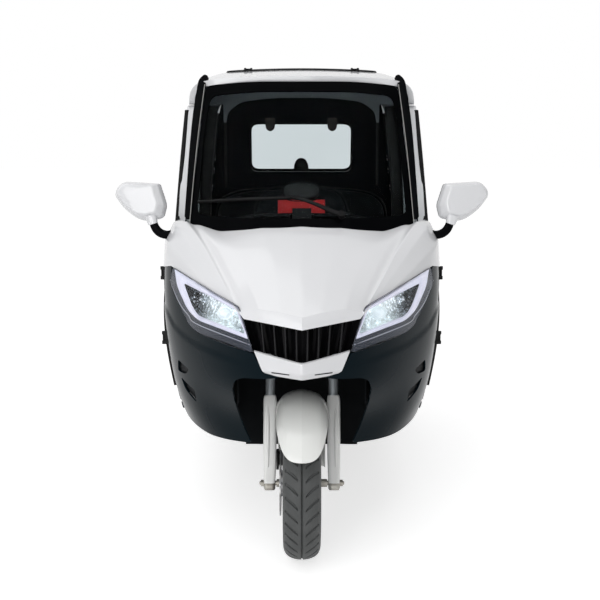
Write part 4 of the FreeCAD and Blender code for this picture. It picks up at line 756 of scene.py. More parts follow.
def glow_mask(tree, places, near, far):
    """A value that is 1 within near of any of the places, as seen from the front, and falls to 0 at far."""
    where = tree.nodes.new("ShaderNodeTexCoord")
    flat = tree.nodes.new("ShaderNodeVectorMath")
    flat.operation = "MULTIPLY"
    flat.inputs[1].default_value = (1, 0, 1)
    tree.links.new(where.outputs["Object"], flat.inputs[0])
    masks = []
    for x, z in places:
        away = tree.nodes.new("ShaderNodeVectorMath")
        away.operation = "DISTANCE"
        away.inputs[1].default_value = (x, 0, z)
        tree.links.new(flat.outputs["Vector"], away.inputs[0])
        fade = tree.nodes.new("ShaderNodeMapRange")
        fade.interpolation_type = "SMOOTHSTEP"
        set_sockets(fade, {"From Min": near, "From Max": far, "To Min": 1.0, "To Max": 0.0})
        tree.links.new(away.outputs["Value"], fade.inputs["Value"])
        masks.append(fade.outputs["Result"])
    most = tree.nodes.new("ShaderNodeMath")
    most.operation = "MAXIMUM"
    tree.links.new(masks[0], most.inputs[0])
    tree.links.new(masks[1], most.inputs[1])
    return most.outputs["Value"]


def lit(material, color, strength, near, far):
    """Lets a material glow round each projector, mixed in from black by the glow mask: the projector's own light, and
    painted lamp light on the bowl.
    """
    tree = material.node_tree
    shader = tree.nodes["Principled BSDF"]
    mix = tree.nodes.new("ShaderNodeMix")
    mix.data_type = "RGBA"
    mix.inputs["A"].default_value = (0, 0, 0, 1)
    mix.inputs["B"].default_value = (*color, 1)
    tree.links.new(glow_mask(tree, ((-GLOW[0], GLOW[1]), GLOW), near, far), mix.inputs["Factor"])
    tree.links.new(mix.outputs["Result"], shader.inputs["Emission Color"])
    shader.inputs["Emission Strength"].default_value = strength
    return material


BEZEL_BLACK = finish("lamp_bezel", (0.022, 0.026, 0.036), (0.036, 0.040, 0.052), 12, 0.25, 0.1, 300, 0.03,
                     Specular_IOR_Level=0.2)
LIGHT_GUIDE = finish("light_guide", (0.62, 0.61, 0.69), (0.54, 0.54, 0.63), 20, 0.25, 0.1, 300, 0.05,
                     Emission_Color=(0.80, 0.79, 0.94, 1), Emission_Strength=0.16)
GUIDE_EDGE_LIGHT = finish("light_guide_edge", (0.42, 0.43, 0.48), (0.38, 0.39, 0.44), 20, 0.3, 0.1, 300, 0.05)
# The bowl's chrome: its near-black second colour paints broken dark reflections into it, and its glow round each
# projector is painted lamp light.
LAMP_CHROME_PAINTED_REFLECTIONS_AND_GLOW = lit(finish("lamp_reflector_painted_reflections_and_glow", (0.80, 0.83, 0.86), (0.04, 0.05, 0.06), 70, 0.08, 0.15, 110, 0.9,
                         Metallic=1.0), (0.76, 0.88, 0.88), 0.50, 0.010, 0.105)
PROJECTOR = lit(finish("lamp_projector", (0.55, 0.60, 0.62), (0.40, 0.46, 0.50), 40, 0.05, 0.05, 300, 0.02),
                (0.86, 0.94, 0.94), 0.42, 0.010, 0.050)
LENS_CLEAR = finish("lamp_lens", (0.97, 0.98, 1.0), (0.95, 0.97, 1.0), 10, 0.0, 0.02, 200, 0.0,
                    Transmission_Weight=1.0, IOR=1.09)


def lamp_loop(corners, back, grow=0.0):
    """A loop of the lamp: rounded corners with even sides, seen from the front, set back from the nose's skin
    along the car, and grown from its middle."""
    loop = rounded(grown(corners, 1 + grow), LAMP_ROUND, 16)
    x, y = nose(nose_column(loop[:, 0], loop[:, 1]), loop[:, 1])
    return np.stack([x, AXLE_Y + y + back, loop[:, 1]], -1)


def lofted(loops):
    """A sheet through closed loops of as many points each."""
    return np.concatenate(loops), grid_faces(len(loops), len(loops[0]), False, True)


LAMP_BACK = (0, AXLE_Y + 1, 0.82)
edge_loop = lamp_loop(LAMP_EDGE, 0.0032, -0.004)
guide_out = lamp_loop(GUIDE_EDGE, 0.014)
guide_in = lamp_loop(BOWL_EDGE, 0.016)
bowl_back = lamp_loop(BOWL_EDGE, 0.070, -0.08)
add_piece("lamp_bezels",
          both_sides(lofted([edge_loop + (0, 0.012, 0), edge_loop, lamp_loop(LAMP_EDGE, 0.005, -0.02), guide_out])),
          BEZEL_BLACK, "chassis", ("headlamp_housings",), seen_from=LAMP_BACK)
share = np.linspace(0, 1, 9)
loops = [guide_out * (1 - s) + guide_in * s - (0, 0.011 * math.sin(math.pi * s) ** 0.7, 0) for s in share]
add_piece("lamp_light_guides", both_sides(lofted(loops)), LIGHT_GUIDE, "chassis", seen_from=LAMP_BACK)
line = np.array(GUIDE_LINE)
x, y = nose(nose_column(line[:, 0], line[:, 1]), line[:, 1])
add_piece("lamp_guide_edges",
          both_sides(swept(np.stack([x, AXLE_Y + y + 0.0075, line[:, 1]], -1), 0.0014, 0.0014, (0, 0, 1), samples=60,
                           around=10)), GUIDE_EDGE_LIGHT, "chassis")
back_rows = [guide_in, guide_in + (0, 0.004, 0), guide_in * 0.5 + bowl_back * 0.5 + (0, -0.004, 0), bowl_back]
walls_of_bowl = lofted(back_rows)
floor_loop = rounded(grown(BOWL_EDGE, 0.92), LAMP_ROUND, 16)
places, floor_faces = region(floor_loop, [], 0.0035)
x, y = nose(nose_column(places[:, 0], places[:, 1]), places[:, 1])
cup = np.hypot(places[:, 0] - FLUTED[0], (places[:, 1] - FLUTED[1]) * 1.15)
around = np.arctan2(places[:, 1] - FLUTED[1], places[:, 0] - FLUTED[0])
near_cup = 1 - smooth_step(cup, 0.018, 0.030)
depth = 0.070 + near_cup * (0.004 * np.cos(11 * around) * np.minimum(cup / 0.012, 1) - 0.022 + 0.034
                            * smooth_step(cup, 0.0, 0.026))
eye = np.hypot(places[:, 0] - GLOW[0], places[:, 1] - GLOW[1])
pleats = 0.006 * np.abs(np.sin(places[:, 0] * 330 + places[:, 1] * 120))
depth = depth + pleats * (1 - near_cup) * smooth_step(eye, 0.026, 0.032)
bowl_floor = np.stack([x, AXLE_Y + y + depth, places[:, 1]], -1)
add_piece("lamp_bowls",
          both_sides(joined([(walls_of_bowl[0],
                              np.concatenate([walls_of_bowl[1][:, [0, 1, 2]], walls_of_bowl[1][:, [0, 2, 3]]])),
                             (bowl_floor, floor_faces)])), LAMP_CHROME_PAINTED_REFLECTIONS_AND_GLOW, "chassis", seen_from=LAMP_BACK,
          sharp=40)


def projector():
    """A projector: a domed lens in a barrel, whose axis lies along the car."""
    turn = full_turn(48)[:, None]
    profile = np.array([(0.000, 0.034), (0.006, 0.0350), (0.0120, 0.0375), (0.0165, 0.0420), (0.0190, 0.0475),
                        (0.0225, 0.0475), (0.0225, 0.0430), (0.0245, 0.0430), (0.0245, 0.0850)])
    radius = profile[None, :, 0] + 0 * turn
    x0, y0 = nose(nose_column(np.array([GLOW[0]]), np.array([GLOW[1]])), np.array([GLOW[1]]))
    points = np.stack([GLOW[0] + radius * np.cos(turn), AXLE_Y + y0[0] + profile[None, :, 1] + 0 * turn,
                       GLOW[1] - 0.002 + radius * 0.86 * np.sin(turn)], -1)
    return points.reshape(-1, 3), grid_faces(48, len(profile), True, False)


add_piece("lamp_projectors", both_sides(projector()), PROJECTOR, "chassis", seen_from=LAMP_BACK)
places, faces = region(on_nose(rounded(LAMP_EDGE, LAMP_ROUND), 0.006), [], 0.012)
lens = add_piece("lamp_lenses", both_sides((nose_place(places[:, 0] / COLUMN_WIDTH, places[:, 1], 0.0), faces)),
                 LENS_CLEAR, "chassis", ("headlamp_lenses",), seen_from=(0, AXLE_Y + 0.6, 0.8))
walls(lens, 0.0025)

# The grille: black moulded slats in a shallow V, fanned a little so that the outer ones follow the lamps' inner
# edges, over a black backing.
GRILLE_GLOSS = finish("grille_black", (0.0035, 0.0035, 0.004), (0.006, 0.006, 0.007), 10, 0.3, 0.1, 500, 0.08,
                      Specular_IOR_Level=0.05)
SLAT_EDGE = finish("grille_slat", (0.010, 0.010, 0.011), (0.016, 0.016, 0.017), 10, 0.28, 0.1, 500, 0.08,
                   Specular_IOR_Level=0.12)
GRILLE_POINT = -0.212
GRILLE_FALL = 0.49
SLATS = [((0.0170, 0.8084), (0.0154, 0.7163)), ((0.0512, 0.8110), (0.0475, 0.7223)),
         ((0.0858, 0.8137), (0.0776, 0.7254)), ((0.1237, 0.8161), (0.1127, 0.7250))]


def backing():
    """The backing: a sheet in a V, whose edges follow the hood's lip above and the chin below."""
    across = np.linspace(-1, 1, 41)[None, :]
    up = np.linspace(0, 1, 12)[:, None]
    low_z = 0.700 + 0.020 * np.abs(across)
    high_z = 0.822 + 0.020 * np.abs(across)
    z = low_z + (high_z - low_z) * up
    x = across * (0.150 + 0.034 * up)
    y = AXLE_Y + GRILLE_POINT + GRILLE_FALL * np.abs(x) + 0.010 * np.cos(across * math.pi * 9)
    return np.stack([x, y + 0 * z, z], -1).reshape(-1, 3), grid_faces(12, 41)


grille_back = add_piece("grille_backing", backing(), GRILLE_GLOSS, "chassis", ("grille",),
                        seen_from=(0, AXLE_Y + 1, 0.8))
walls(grille_back, 0.003)
parts = []
for top, bottom in SLATS:
    for sign in (-1, 1):
        front = AXLE_Y - 0.243 + GRILLE_FALL * np.array([top[0], bottom[0]])
        path = [(sign * top[0], front[0], 0.832 + 0.06 * top[0]),
                (sign * bottom[0], front[1] - 0.004, 0.704 + 0.1 * bottom[0])]
        path.insert(1, tuple(np.mean(path, 0) + (0, -0.003, 0)))
        parts.append(swept(path, 0.0034, 0.0115, (1, 0, 0), power=3, samples=16, around=16))
add_piece("grille_slats", joined(parts), SLAT_EDGE, "chassis")

# The chin: a white moulding under the grille, a ridge down its middle, a fold above its lower lip and to each side
# a thin black bead that paints the shade inside a slit.
WHITE_PAINT = finish("white_body_paint", (0.735, 0.74, 0.76), (0.71, 0.716, 0.735), 2.5, 0.2, 0.06, 420, 0.02,
                     Coat_Weight=0.7, Coat_Roughness=0.04)
CHIN_ROWS = [(0.7083, 0.1451, 0.7308, 0.010), (0.7060, 0.1445, 0.7282, 0.0), (0.6760, 0.1215, 0.6738, 0.0),
             (0.6700, 0.1190, 0.6692, 0.003), (0.6530, 0.1019, 0.6564, 0.018), (0.6560, 0.1000, 0.6590, 0.030)]


def chin():
    """The chin: rows of (middle height, half width, side height, set back), bent from row to row, and across
    them a V that is rounded at its point."""
    rows = bent_weights(len(CHIN_ROWS), np.linspace(0, len(CHIN_ROWS) - 1, 51), 0.22) @ np.array(CHIN_ROWS)
    across = np.linspace(-1, 1, 61)[None, :]
    off = np.sqrt(across ** 2 + 0.0016) - 0.04 * (1 - across ** 2)
    x = across * rows[:, 1:2]
    z = rows[:, 0:1] + (rows[:, 2:3] - rows[:, 0:1]) * off
    y = AXLE_Y - 0.272 + 0.082 * (off * rows[:, 1:2] / 0.152) + rows[:, 3:4]
    return np.stack([x, y, z], -1).reshape(-1, 3), grid_faces(51, 61)


chin_piece = add_piece("chin_moulding", chin(), WHITE_PAINT, "chassis", ("nose_lip",),
                       seen_from=(0, AXLE_Y + 1, 0.69))
walls(chin_piece, 0.004, 0.0012)
parts = []
# Thin black beads on the chin's face: painted shade where each slit would be.
for sign in (-1, 1):
    path = [(sign * x, AXLE_Y - 0.2715 + 0.539 * x, 0.6695) for x in (0.038, 0.064, 0.091)]
    parts.append(swept(path, 0.0016, 0.0016, (0, 0, 1), samples=20, around=10))
add_piece("chin_slit_painted_shade", joined(parts), VENT_BLACK, "chassis")

# The hood: a white moulding in three fields. A broad middle one has a faint ridge and ends in a folded lip over
# the grille. A flank to each side falls from a crease, which rises to a hump at the windscreen's foot.
HOOD_STATIONS = (-0.300, -0.150, 0.0, 0.150, 0.300, 0.450)
HOOD_SECTIONS = [(0.817, (0.104, 0.804), (0.150, 0.780), (0.152, 0.772), (0.154, 0.760), (0.155, 0.740)),
                 (0.892, (0.140, 0.877), (0.194, 0.850), (0.198, 0.840), (0.201, 0.827), (0.204, 0.806)),
                 (0.967, (0.182, 0.948), (0.256, 0.930), (0.278, 0.917), (0.300, 0.898), (0.314, 0.864)),
                 (1.040, (0.240, 1.018), (0.318, 1.006), (0.354, 0.988), (0.388, 0.952), (0.403, 0.896)),
                 (1.102, (0.295, 1.060), (0.388, 1.075), (0.434, 1.058), (0.468, 1.002), (0.478, 0.905)),
                 (1.130, (0.322, 1.080), (0.424, 1.084), (0.462, 1.066), (0.490, 1.004), (0.497, 0.900))]
HOOD_TABLE = mirrored([[(0, centre), (valley[0] * 0.5, 0.75 * centre + 0.25 * valley[1]), valley, *rest]
                       for centre, valley, *rest in HOOD_SECTIONS])
HOOD_SIDE = [(0.209, 0.863), (0.330, 0.899), (0.445, 0.9335), (0.480, 0.923), (0.4962, 0.917)]
CREASE = 3
HOOD_SOFT = 0.12
FURROW_DEPTH = 0.0060
FURROW_COLUMN = 2.86
FURROW_WIDTH = 0.16
LIP_POINT = -0.2495
LIP_FALL = 0.4562
SCREEN_HEIGHTS = (1.000, 1.210, 1.420, 1.630)
SCREEN_TABLE = mirrored([[(0, 0.168), (0.210, 0.196), (0.440, 0.300)], [(0, 0.311), (0.208, 0.332), (0.436, 0.418)],
                        [(0, 0.453), (0.204, 0.468), (0.430, 0.536)], [(0, 0.594), (0.200, 0.605), (0.424, 0.660)]])


def hood(column, y):
    """The hood at a column, counted outwards from the middle, and a place along the car: x and z, splined along
    the car and bent across it, with a shallow bell-shaped furrow just inside each crease."""
    x, z = tensor(HOOD_TABLE, natural_weights(HOOD_STATIONS, y), bent_weights(13, column + 6, HOOD_SOFT))
    furrow = np.exp(-((np.abs(column) - FURROW_COLUMN) / FURROW_WIDTH) ** 2) * smooth_step(y, -0.20, -0.02)
    furrow = furrow * (1 - smooth_step(y, 0.36, 0.44))
    return np.stack([x, z - FURROW_DEPTH * furrow])


def screen_y(x, z):
    """How far back the windscreen's skin is at a place seen from the front: splined both ways."""
    column = np.clip(np.abs(x) / 0.215, 0, 2)
    low = np.zeros(len(column))
    rows = natural_weights(SCREEN_HEIGHTS, z)
    column = halved(lambda at: tensor(SCREEN_TABLE, rows, natural_weights(np.arange(-2, 3), at))[0] - np.abs(x), low,
                    low + 2.2)
    return tensor(SCREEN_TABLE, rows, natural_weights(np.arange(-2, 3), column))[1]


def hood_domain(target):
    """The column and place along the car where the hood, seen from the front, passes through given places: the
    nearest of a coarse grid, then six steps of Newton's rule."""
    grid_c, grid_y = [g.ravel() for g in np.meshgrid(np.linspace(CREASE, 6, 50), np.linspace(-0.25, 0.45, 90))]
    seen = hood(grid_c, grid_y).T
    best = ((target[:, None] - seen) ** 2).sum(2).argmin(1)
    at = np.stack([grid_c[best], grid_y[best]], -1)
    for _ in range(6):
        here = hood(at[:, 0], at[:, 1]).T
        by_c = (hood(at[:, 0] + 1e-3, at[:, 1]).T - here) / 1e-3
        by_y = (hood(at[:, 0], at[:, 1] + 1e-4).T - here) / 1e-4
        off = target - here
        size = by_c[:, 0] * by_y[:, 1] - by_c[:, 1] * by_y[:, 0]
        size = np.where(np.abs(size) < 1e-4, 1e-4, size)
        step_c = (off[:, 0] * by_y[:, 1] - off[:, 1] * by_y[:, 0]) / size
        step_y = (by_c[:, 0] * off[:, 1] - by_c[:, 1] * off[:, 0]) / size
        at = at + np.stack([np.clip(step_c, -0.3, 0.3), np.clip(step_y, -0.04, 0.04)], -1)
        at = np.clip(at, (CREASE - 0.2, -0.28), (6.0, COWL_REAR))
    return at


across = np.linspace(0, CREASE, 40)
low = np.zeros(40)
lip_y = halved(lambda y: y - LIP_POINT - LIP_FALL * hood(across, y)[0], low - 0.29, low)
side = np.concatenate([np.stack([np.linspace(a[0], b[0], 24), np.linspace(a[1], b[1], 24)], -1)[:-1]
                       for a, b in zip(HOOD_SIDE[:-1], HOOD_SIDE[1:])] + [np.array(HOOD_SIDE[-1:])])
side = hood_domain(side)
rear_c = np.linspace(side[-1, 0], 0, 120)
low = np.zeros(120)
rear_y = halved(lambda y: y + 0.0015 - screen_y(hood(rear_c, y)[0], hood(rear_c, y)[1]), low, low + COWL_REAR)
rear_x = hood(rear_c, rear_y)[0]
rear_y = rear_y + (COWL_REAR - rear_y) * smooth_step(rear_x, 0.405, 0.428)
HOOD_SCALE = 0.085
outline = np.concatenate([np.stack([across, lip_y], -1), side, np.stack([rear_c, rear_y], -1)[:-1]])
mirror = outline[::-1] * (-1, 1)
outline = np.concatenate([outline, np.stack([[0], rear_y[-1:]], -1), mirror[:-1]])
outline = divided(outline * (HOOD_SCALE, 1), 0.007)
places, faces = region(outline, [], 0.0072)
x, z = hood(places[:, 0] / HOOD_SCALE, places[:, 1])
points = np.stack([x, AXLE_Y + places[:, 1], z], -1)
hood_piece = add_piece("hood_moulding", (points, faces), WHITE_PAINT, "chassis", ("hood",),
                       seen_from=(0, AXLE_Y + 0.2, 0.6), sharp=40)
walls(hood_piece, 0.005, 0.0012)


def lip():
    """The lip: from the hood's front line down to a foot, both in a V, on to the lamp's corner at each end, and
    folded back underneath."""
    top_x, top_z = hood(across, lip_y)
    top = np.stack([top_x, lip_y, top_z], -1)
    corner = np.array([[0.209, nose(nose_column(np.array([0.209]), np.array([0.863])), np.array([0.863]))[1][0],
                        0.863]])
    top = np.concatenate([top, corner])
    share = np.concatenate([across / CREASE, [1.0]])[:, None]
    foot = np.array([0, -0.270, 0.8075]) + share * np.array([0.1755, 0.0875, 0.0185])
    fold = foot + (0, 0.022, 0.003)
    down = np.concatenate([np.linspace(0, 1, 10), [1.0]])[:, None, None]
    rows = top[None] * (1 - down) + foot[None] * down
    rows[-1] = fold
    rows[1:-1, :, 1] -= 0.002 * np.sin(np.pi * down[1:-1, 0])
    whole = mirrored(rows + (0, AXLE_Y, 0))
    return whole.reshape(-1, 3), grid_faces(*whole.shape[:2])


lip_piece = add_piece("hood_lip_face", lip(), WHITE_PAINT, "chassis", seen_from=(0, AXLE_Y + 0.6, 0.9),
                      sharp=24)
walls(lip_piece, 0.003)

# The windscreen: laminated glass bonded to the body over a black printed border. Black pillar covers stand proud
# at each side, with a thin grey strip along their inner edges that is a painted highlight.
BORDER_BLACK = finish("glazing_border", (0.0010, 0.0012, 0.0016), (0.002, 0.0023, 0.0028), 8, 0.12, 0.06, 300, 0.02,
                      Specular_IOR_Level=0.012)
SCREEN_GLASS = finish("windscreen_glass", (0.90, 0.95, 0.95), (0.88, 0.94, 0.94), 3, 0.0, 0.01, 200, 0.0,
                      Transmission_Weight=1.0, IOR=1.05)
PILLAR_BLACK = finish("pillar_cover", (0.0012, 0.0014, 0.0020), (0.0026, 0.0030, 0.0038), 10, 0.26, 0.12, 600, 0.1,
                      Specular_IOR_Level=0.025)
# A grey finish that paints the highlight along each pillar cover's inner edge.
PILLAR_PAINTED_HIGHLIGHT = finish("pillar_edge_painted_highlight", (0.30, 0.30, 0.29), (0.24, 0.24, 0.23), 18, 0.35, 0.1, 400, 0.05)
GLASS_EDGE = [(0.170, 1.530), (0.331, 1.516), (0.349, 1.400), (0.356, 1.250), (0.365, 1.100), (0.180, 1.094)]
FRAME_EDGE = [(0.200, 1.566), (0.352, 1.552), (0.372, 1.320), (0.388, 1.060), (0.388, 1.036)]
TRIM_EDGE = [(0.344, 1.588), (0.357, 1.593), (0.380, 1.570), (0.396, 1.440), (0.402, 1.315), (0.407, 1.121),
             (0.408, 1.086), (0.387, 1.086), (0.386, 1.100), (0.374, 1.320), (0.354, 1.553)]


def mirrored_loop(half):
    """A closed outline from its right half, which starts at the top and ends at the foot."""
    half = np.array(half)
    return np.concatenate([half, half[::-1] * (-1, 1)])


def on_screen(places, out=0.0):
    """Places seen from the front, on the windscreen's skin, moved out square to its middle slope."""
    y = screen_y(places[:, 0], places[:, 1])
    return np.stack([places[:, 0], AXLE_Y + y - out * 0.83, places[:, 1] + out * 0.56], -1)


glass_loop = divided(rounded(mirrored_loop(GLASS_EDGE), [0.1, 0.03, 0.1] * 4), 0.012)
frame_loop = divided(rounded(mirrored_loop(FRAME_EDGE), [0.1, 0.03, 0.1, 0.02, 0.02, 0.02, 0.02, 0.1, 0.03, 0.1]),
                     0.012)
behind_screen = (0, AXLE_Y + 1.0, 1.0)
places, faces = region(frame_loop, [glass_loop], 0.014)
border = add_piece("windscreen_border", (on_screen(places, 0.0012), faces), BORDER_BLACK, "chassis",
                   ("windscreen_frame",), seen_from=behind_screen)
walls(border, 0.005, 0.001)
pane_loop = glass_loop + unit(glass_loop - (0, 1.31)) * 0.012
places, faces = region(pane_loop, [], 0.022)
glass = add_piece("windscreen_pane", (on_screen(places, -0.0045), faces), SCREEN_GLASS, "chassis",
                  ("windscreen",), seen_from=behind_screen)
walls(glass, 0.0045)
trim_loop = divided(rounded(TRIM_EDGE, [0.01, 0.012, 0.02, 0.1, 0.1, 0.03, 0.006, 0.006, 0.02, 0.1, 0.02]), 0.010)
places, faces = region(trim_loop, [], 0.009)
across_trim = places[:, 0] - np.interp(places[:, 1], (1.086, 1.320, 1.604), (0.387, 0.374, 0.353))
crown = 0.0050 + 0.0042 * np.sin(np.clip(across_trim / 0.034, 0, 1) * math.pi)
trims = add_piece("pillar_covers", both_sides((on_screen(places, crown), faces)), PILLAR_BLACK, "chassis",
                  ("pillar_trims",), seen_from=behind_screen)
walls(trims, 0.013, 0.002, segments=3)
# The painted highlight: a thin grey bead along the covers' inner edges.
strip = np.array(TRIM_EDGE[7:])[:, :] + (0.0005, 0)
line = on_screen(strip, 0.0085)
add_piece("pillar_painted_highlights", both_sides(swept(line, 0.0015, 0.0015, (1, 0, 0), samples=70, around=8)), PILLAR_PAINTED_HIGHLIGHT,
          "chassis")

# The roof: one white moulding with rounded shoulders and a hole for the sunroof, lined inside with grey board.
ROOF_LINING = finish("roof_lining", (0.140, 0.150, 0.165), (0.160, 0.170, 0.185), 5, 0.85, 0.1, 900, 0.3,
                     Specular_IOR_Level=0.2)
DARK_LINING = finish("dark_lining", (0.0035, 0.0055, 0.0085), (0.0055, 0.0075, 0.0105), 5, 0.7, 0.15, 900, 0.3,
                     Specular_IOR_Level=0.03)
ROOF_STATIONS = (0.580, 0.912, 1.244, 1.575, 1.905)
ROOF_TABLE = mirrored([
    [(0, 1.588), (0.200, 1.584), (0.330, 1.574), (0.397, 1.545), (0.412, 1.482)],
    [(0, 1.632), (0.212, 1.627), (0.345, 1.611), (0.432, 1.558), (0.445, 1.482)],
    [(0, 1.648), (0.219, 1.643), (0.352, 1.624), (0.437, 1.564), (0.452, 1.482)],
    [(0, 1.641), (0.219, 1.636), (0.351, 1.617), (0.436, 1.559), (0.451, 1.482)],
    [(0, 1.614), (0.210, 1.609), (0.340, 1.589), (0.410, 1.548), (0.440, 1.482)]])
ROOF_COLUMN = 0.14
SUNROOF_EDGE = [(-0.300, 0.910), (-0.270, 0.880), (0.270, 0.880), (0.300, 0.910), (0.300, 1.370), (0.270, 1.400),
                (-0.270, 1.400), (-0.300, 1.370)]


def roof(column, y):
    """The roof at a column, counted outwards from the middle, and a place along the car: x and z, splined both
    ways."""
    return tensor(ROOF_TABLE, natural_weights(ROOF_STATIONS, y), natural_weights(np.arange(-4, 5), column))


def roof_column(x, y):
    """The column of a place seen from above."""
    low = np.zeros(len(x))
    return np.sign(x) * halved(lambda column: roof(column, y)[0] - np.abs(x), low, low + 3)


def sunroof_loop(grow):
    """The sunroof's outline in the roof's own columns, grown all round."""
    corners = np.array(SUNROOF_EDGE)
    corners = corners + np.sign(corners - (0, 1.14)) * grow
    loop = divided(rounded(corners, 0.02), 0.012)
    return np.stack([roof_column(loop[:, 0], loop[:, 1]) * ROOF_COLUMN, loop[:, 1]], -1)


def walls_lined(piece, thick, bevel, lining):
    """Walls whose inner face has a material of its own."""
    walls(piece, thick, bevel)
    piece.data.materials.append(lining)
    piece.modifiers["wall"].material_offset = 1
    piece.modifiers["wall"].material_offset_rim = 0


roof_edge = np.array([(2.05, 0.5805), (2.90, 0.626), (3.90, 0.642), (3.90, CABIN_REAR)]) * (ROOF_COLUMN, 1)
roof_edge = np.concatenate([roof_edge[::-1] * (-1, 1), roof_edge])
places, faces = region(divided(rounded(roof_edge, [0.004, 0.02, 0.02, 0.03, 0.03, 0.02, 0.02, 0.004]), 0.012),
                       [sunroof_loop(0.005)], 0.016)
x, z = roof(places[:, 0] / ROOF_COLUMN, places[:, 1])
roof_piece = add_piece("roof_moulding", (np.stack([x, AXLE_Y + places[:, 1], z], -1), faces), WHITE_PAINT, "chassis",
                       ("roof",), seen_from=(0, AXLE_Y + 1.2, 1.0))
walls_lined(roof_piece, 0.020, 0.003, ROOF_LINING)

# The sunroof: a dark tinted pane on two front hinges, with a rubber seal under its edge.
TINTED = finish("tinted_glass", (0.035, 0.04, 0.042), (0.03, 0.034, 0.036), 4, 0.02, 0.03, 200, 0.0,
                Transmission_Weight=0.6, IOR=1.3, Specular_IOR_Level=0.3)
HINGE_BLACK = finish("hinge_black", (0.006, 0.0065, 0.007), (0.011, 0.0115, 0.012), 25, 0.35, 0.2, 600, 0.15,
                     Specular_IOR_Level=0.15)
SEAL_BLACK = finish("window_seal", (0.005, 0.005, 0.0055), (0.009, 0.009, 0.0095), 20, 0.5, 0.2, 700, 0.3,
                    Specular_IOR_Level=0.15)
places, faces = region(sunroof_loop(-0.002), [], 0.03)
x, z = roof(places[:, 0] / ROOF_COLUMN, places[:, 1])
raised = 0.008 * (1 - smooth_step(places[:, 1], 0.88, 1.15))
pane = add_piece("sunroof_pane", (np.stack([x, AXLE_Y + places[:, 1], z + raised - 0.001], -1), faces), TINTED,
                 "sunroof", ("sunroof",), seen_from=(0, AXLE_Y + 1.2, 1.0))
walls(pane, 0.006, 0.0015)


def ring_bead(loop, half_a, half_b, side, around=10):
    """A closed bead along a loop of places: an ellipse with its first half width along the side direction."""
    first, second = square_to(np.roll(loop, -1, 0) - np.roll(loop, 1, 0), side)
    turn = full_turn(around)[None, :, None]
    points = loop[:, None] + first[:, None] * np.cos(turn) * half_a + second[:, None] * np.sin(turn) * half_b
    return points.reshape(-1, 3), grid_faces(len(loop), around, True, True)


loop = sunroof_loop(-0.003)
x, z = roof(loop[:, 0] / ROOF_COLUMN, loop[:, 1])
raised = 0.007 * (1 - smooth_step(loop[:, 1], 0.88, 1.15))
add_piece("sunroof_seal",
          ring_bead(np.stack([x, AXLE_Y + loop[:, 1], z + raised - 0.007], -1), 0.0042, 0.0035, (0, 0, 1)), SEAL_BLACK,
          "sunroof")
dress(HINGE_BLACK, "hinges")
parts = []
for sign in (-1, 1):
    for z in (0.640, 0.880):
        parts.append(swept([(sign * 0.484, AXLE_Y + 0.4545, z), (sign * 0.509, AXLE_Y + 0.4545, z)], 0.019, 0.0014,
                           (0, 0, 1), power=6, samples=3, around=24))
add_piece("hinge_leaves", joined(parts), HINGE_BLACK, "chassis")

# The doors: a shell each, white above the waist and slate below, round a tinted side window in a rubber seal.
# Each hangs on two black hinges at its front edge, and a seal runs up that edge.
SIDE_GLASS = finish("side_glass", (0.20, 0.23, 0.24), (0.18, 0.21, 0.22), 4, 0.01, 0.02, 200, 0.0,
                    Transmission_Weight=1.0, IOR=1.2, Specular_IOR_Level=0.35)
SIDE_HEIGHTS = (0.270, 0.425, 0.580, 0.735, 0.890, 1.045, 1.200, 1.345, 1.490)
SIDE_HALVES = (0.402, 0.456, 0.479, 0.494, 0.498, 0.476, 0.456, 0.441, 0.426)
SIDE_TUCK = (0, 0, 0, 0, 0, 0.022, 0.014, 0.012, 0.006)
WAIST = 0.917
DOOR_EDGE = [(0.457, 0.400), (0.457, 1.046), (0.469, 1.072), (0.640, 1.485), (DOOR_REAR, 1.485), (DOOR_REAR, 0.400)]
DOOR_WINDOW = [(0.532, 1.060), (0.544, 1.092), (0.684, 1.428), (1.153, 1.428), (1.153, 1.000), (0.600, 1.000)]


def side_x(y, z):
    """The side's half width: its section splined up the side, tucked in above the waist towards the front, and a
    slow swell along the car that is widest at the door's rear edge."""
    tuck = np.array(SIDE_TUCK)[None] * (1 - smooth_step(y, COWL_REAR + 0.05, DOOR_REAR))[:, None]
    section = (natural_weights(SIDE_HEIGHTS, z) * (np.array(SIDE_HALVES) - tuck)).sum(1)
    swell = np.interp(y, (COWL_REAR, DOOR_REAR, CABIN_REAR), (0.0, 0.024, 0.004))
    return section + swell


def on_side(places, sign, out=0.0):
    """Places seen from the side, on the side's skin, moved outwards."""
    x = side_x(places[:, 0], places[:, 1]) + out
    return np.stack([sign * x, AXLE_Y + places[:, 0], places[:, 1]], -1)


door_loop = divided(rounded(DOOR_EDGE, [0.015, 0.03, 0.04, 0.03, 0.015, 0.015]), 0.010)
window_loop = divided(rounded(DOOR_WINDOW, [0.01, 0.02, 0.03, 0.03, 0.03, 0.02]), 0.010)


def waist_cut(outline, upper):
    """One side of an outline at the waist, with a narrow groove left between the two colours."""
    height = WAIST + (0.001 if upper else -0.001)
    moved = np.maximum(outline[:, 1], height) if upper else np.minimum(outline[:, 1], height)
    flat = np.stack([outline[:, 0], moved], -1)
    on_line = np.abs(moved - height) < 1e-9
    keep = ~(on_line & np.roll(on_line, 1) & np.roll(on_line, -1))
    return divided(flat[keep], 0.010)


SIDES = (("left", -1), ("right", 1))


def two_tone(name, side_name, sign, loop, hole, spacing, body, stands_for, thick, seen_from):
    """A side panel as two shells that meet at the waist: white above, with the window's hole, and slate below."""
    for part, paint, slot, holes in (("upper", WHITE_PAINT, "white_paint", [hole]),
                                     ("lower", SLATE_PAINT, "dark_paint", [])):
        places, faces = region(waist_cut(loop, part == "upper"), holes, spacing)
        shell = add_piece(name + "_" + part + "_" + side_name, (on_side(places, sign), faces), paint, body,
                          (stands_for,), seen_from=seen_from)
        walls_lined(shell, thick, 0.002, DARK_LINING)


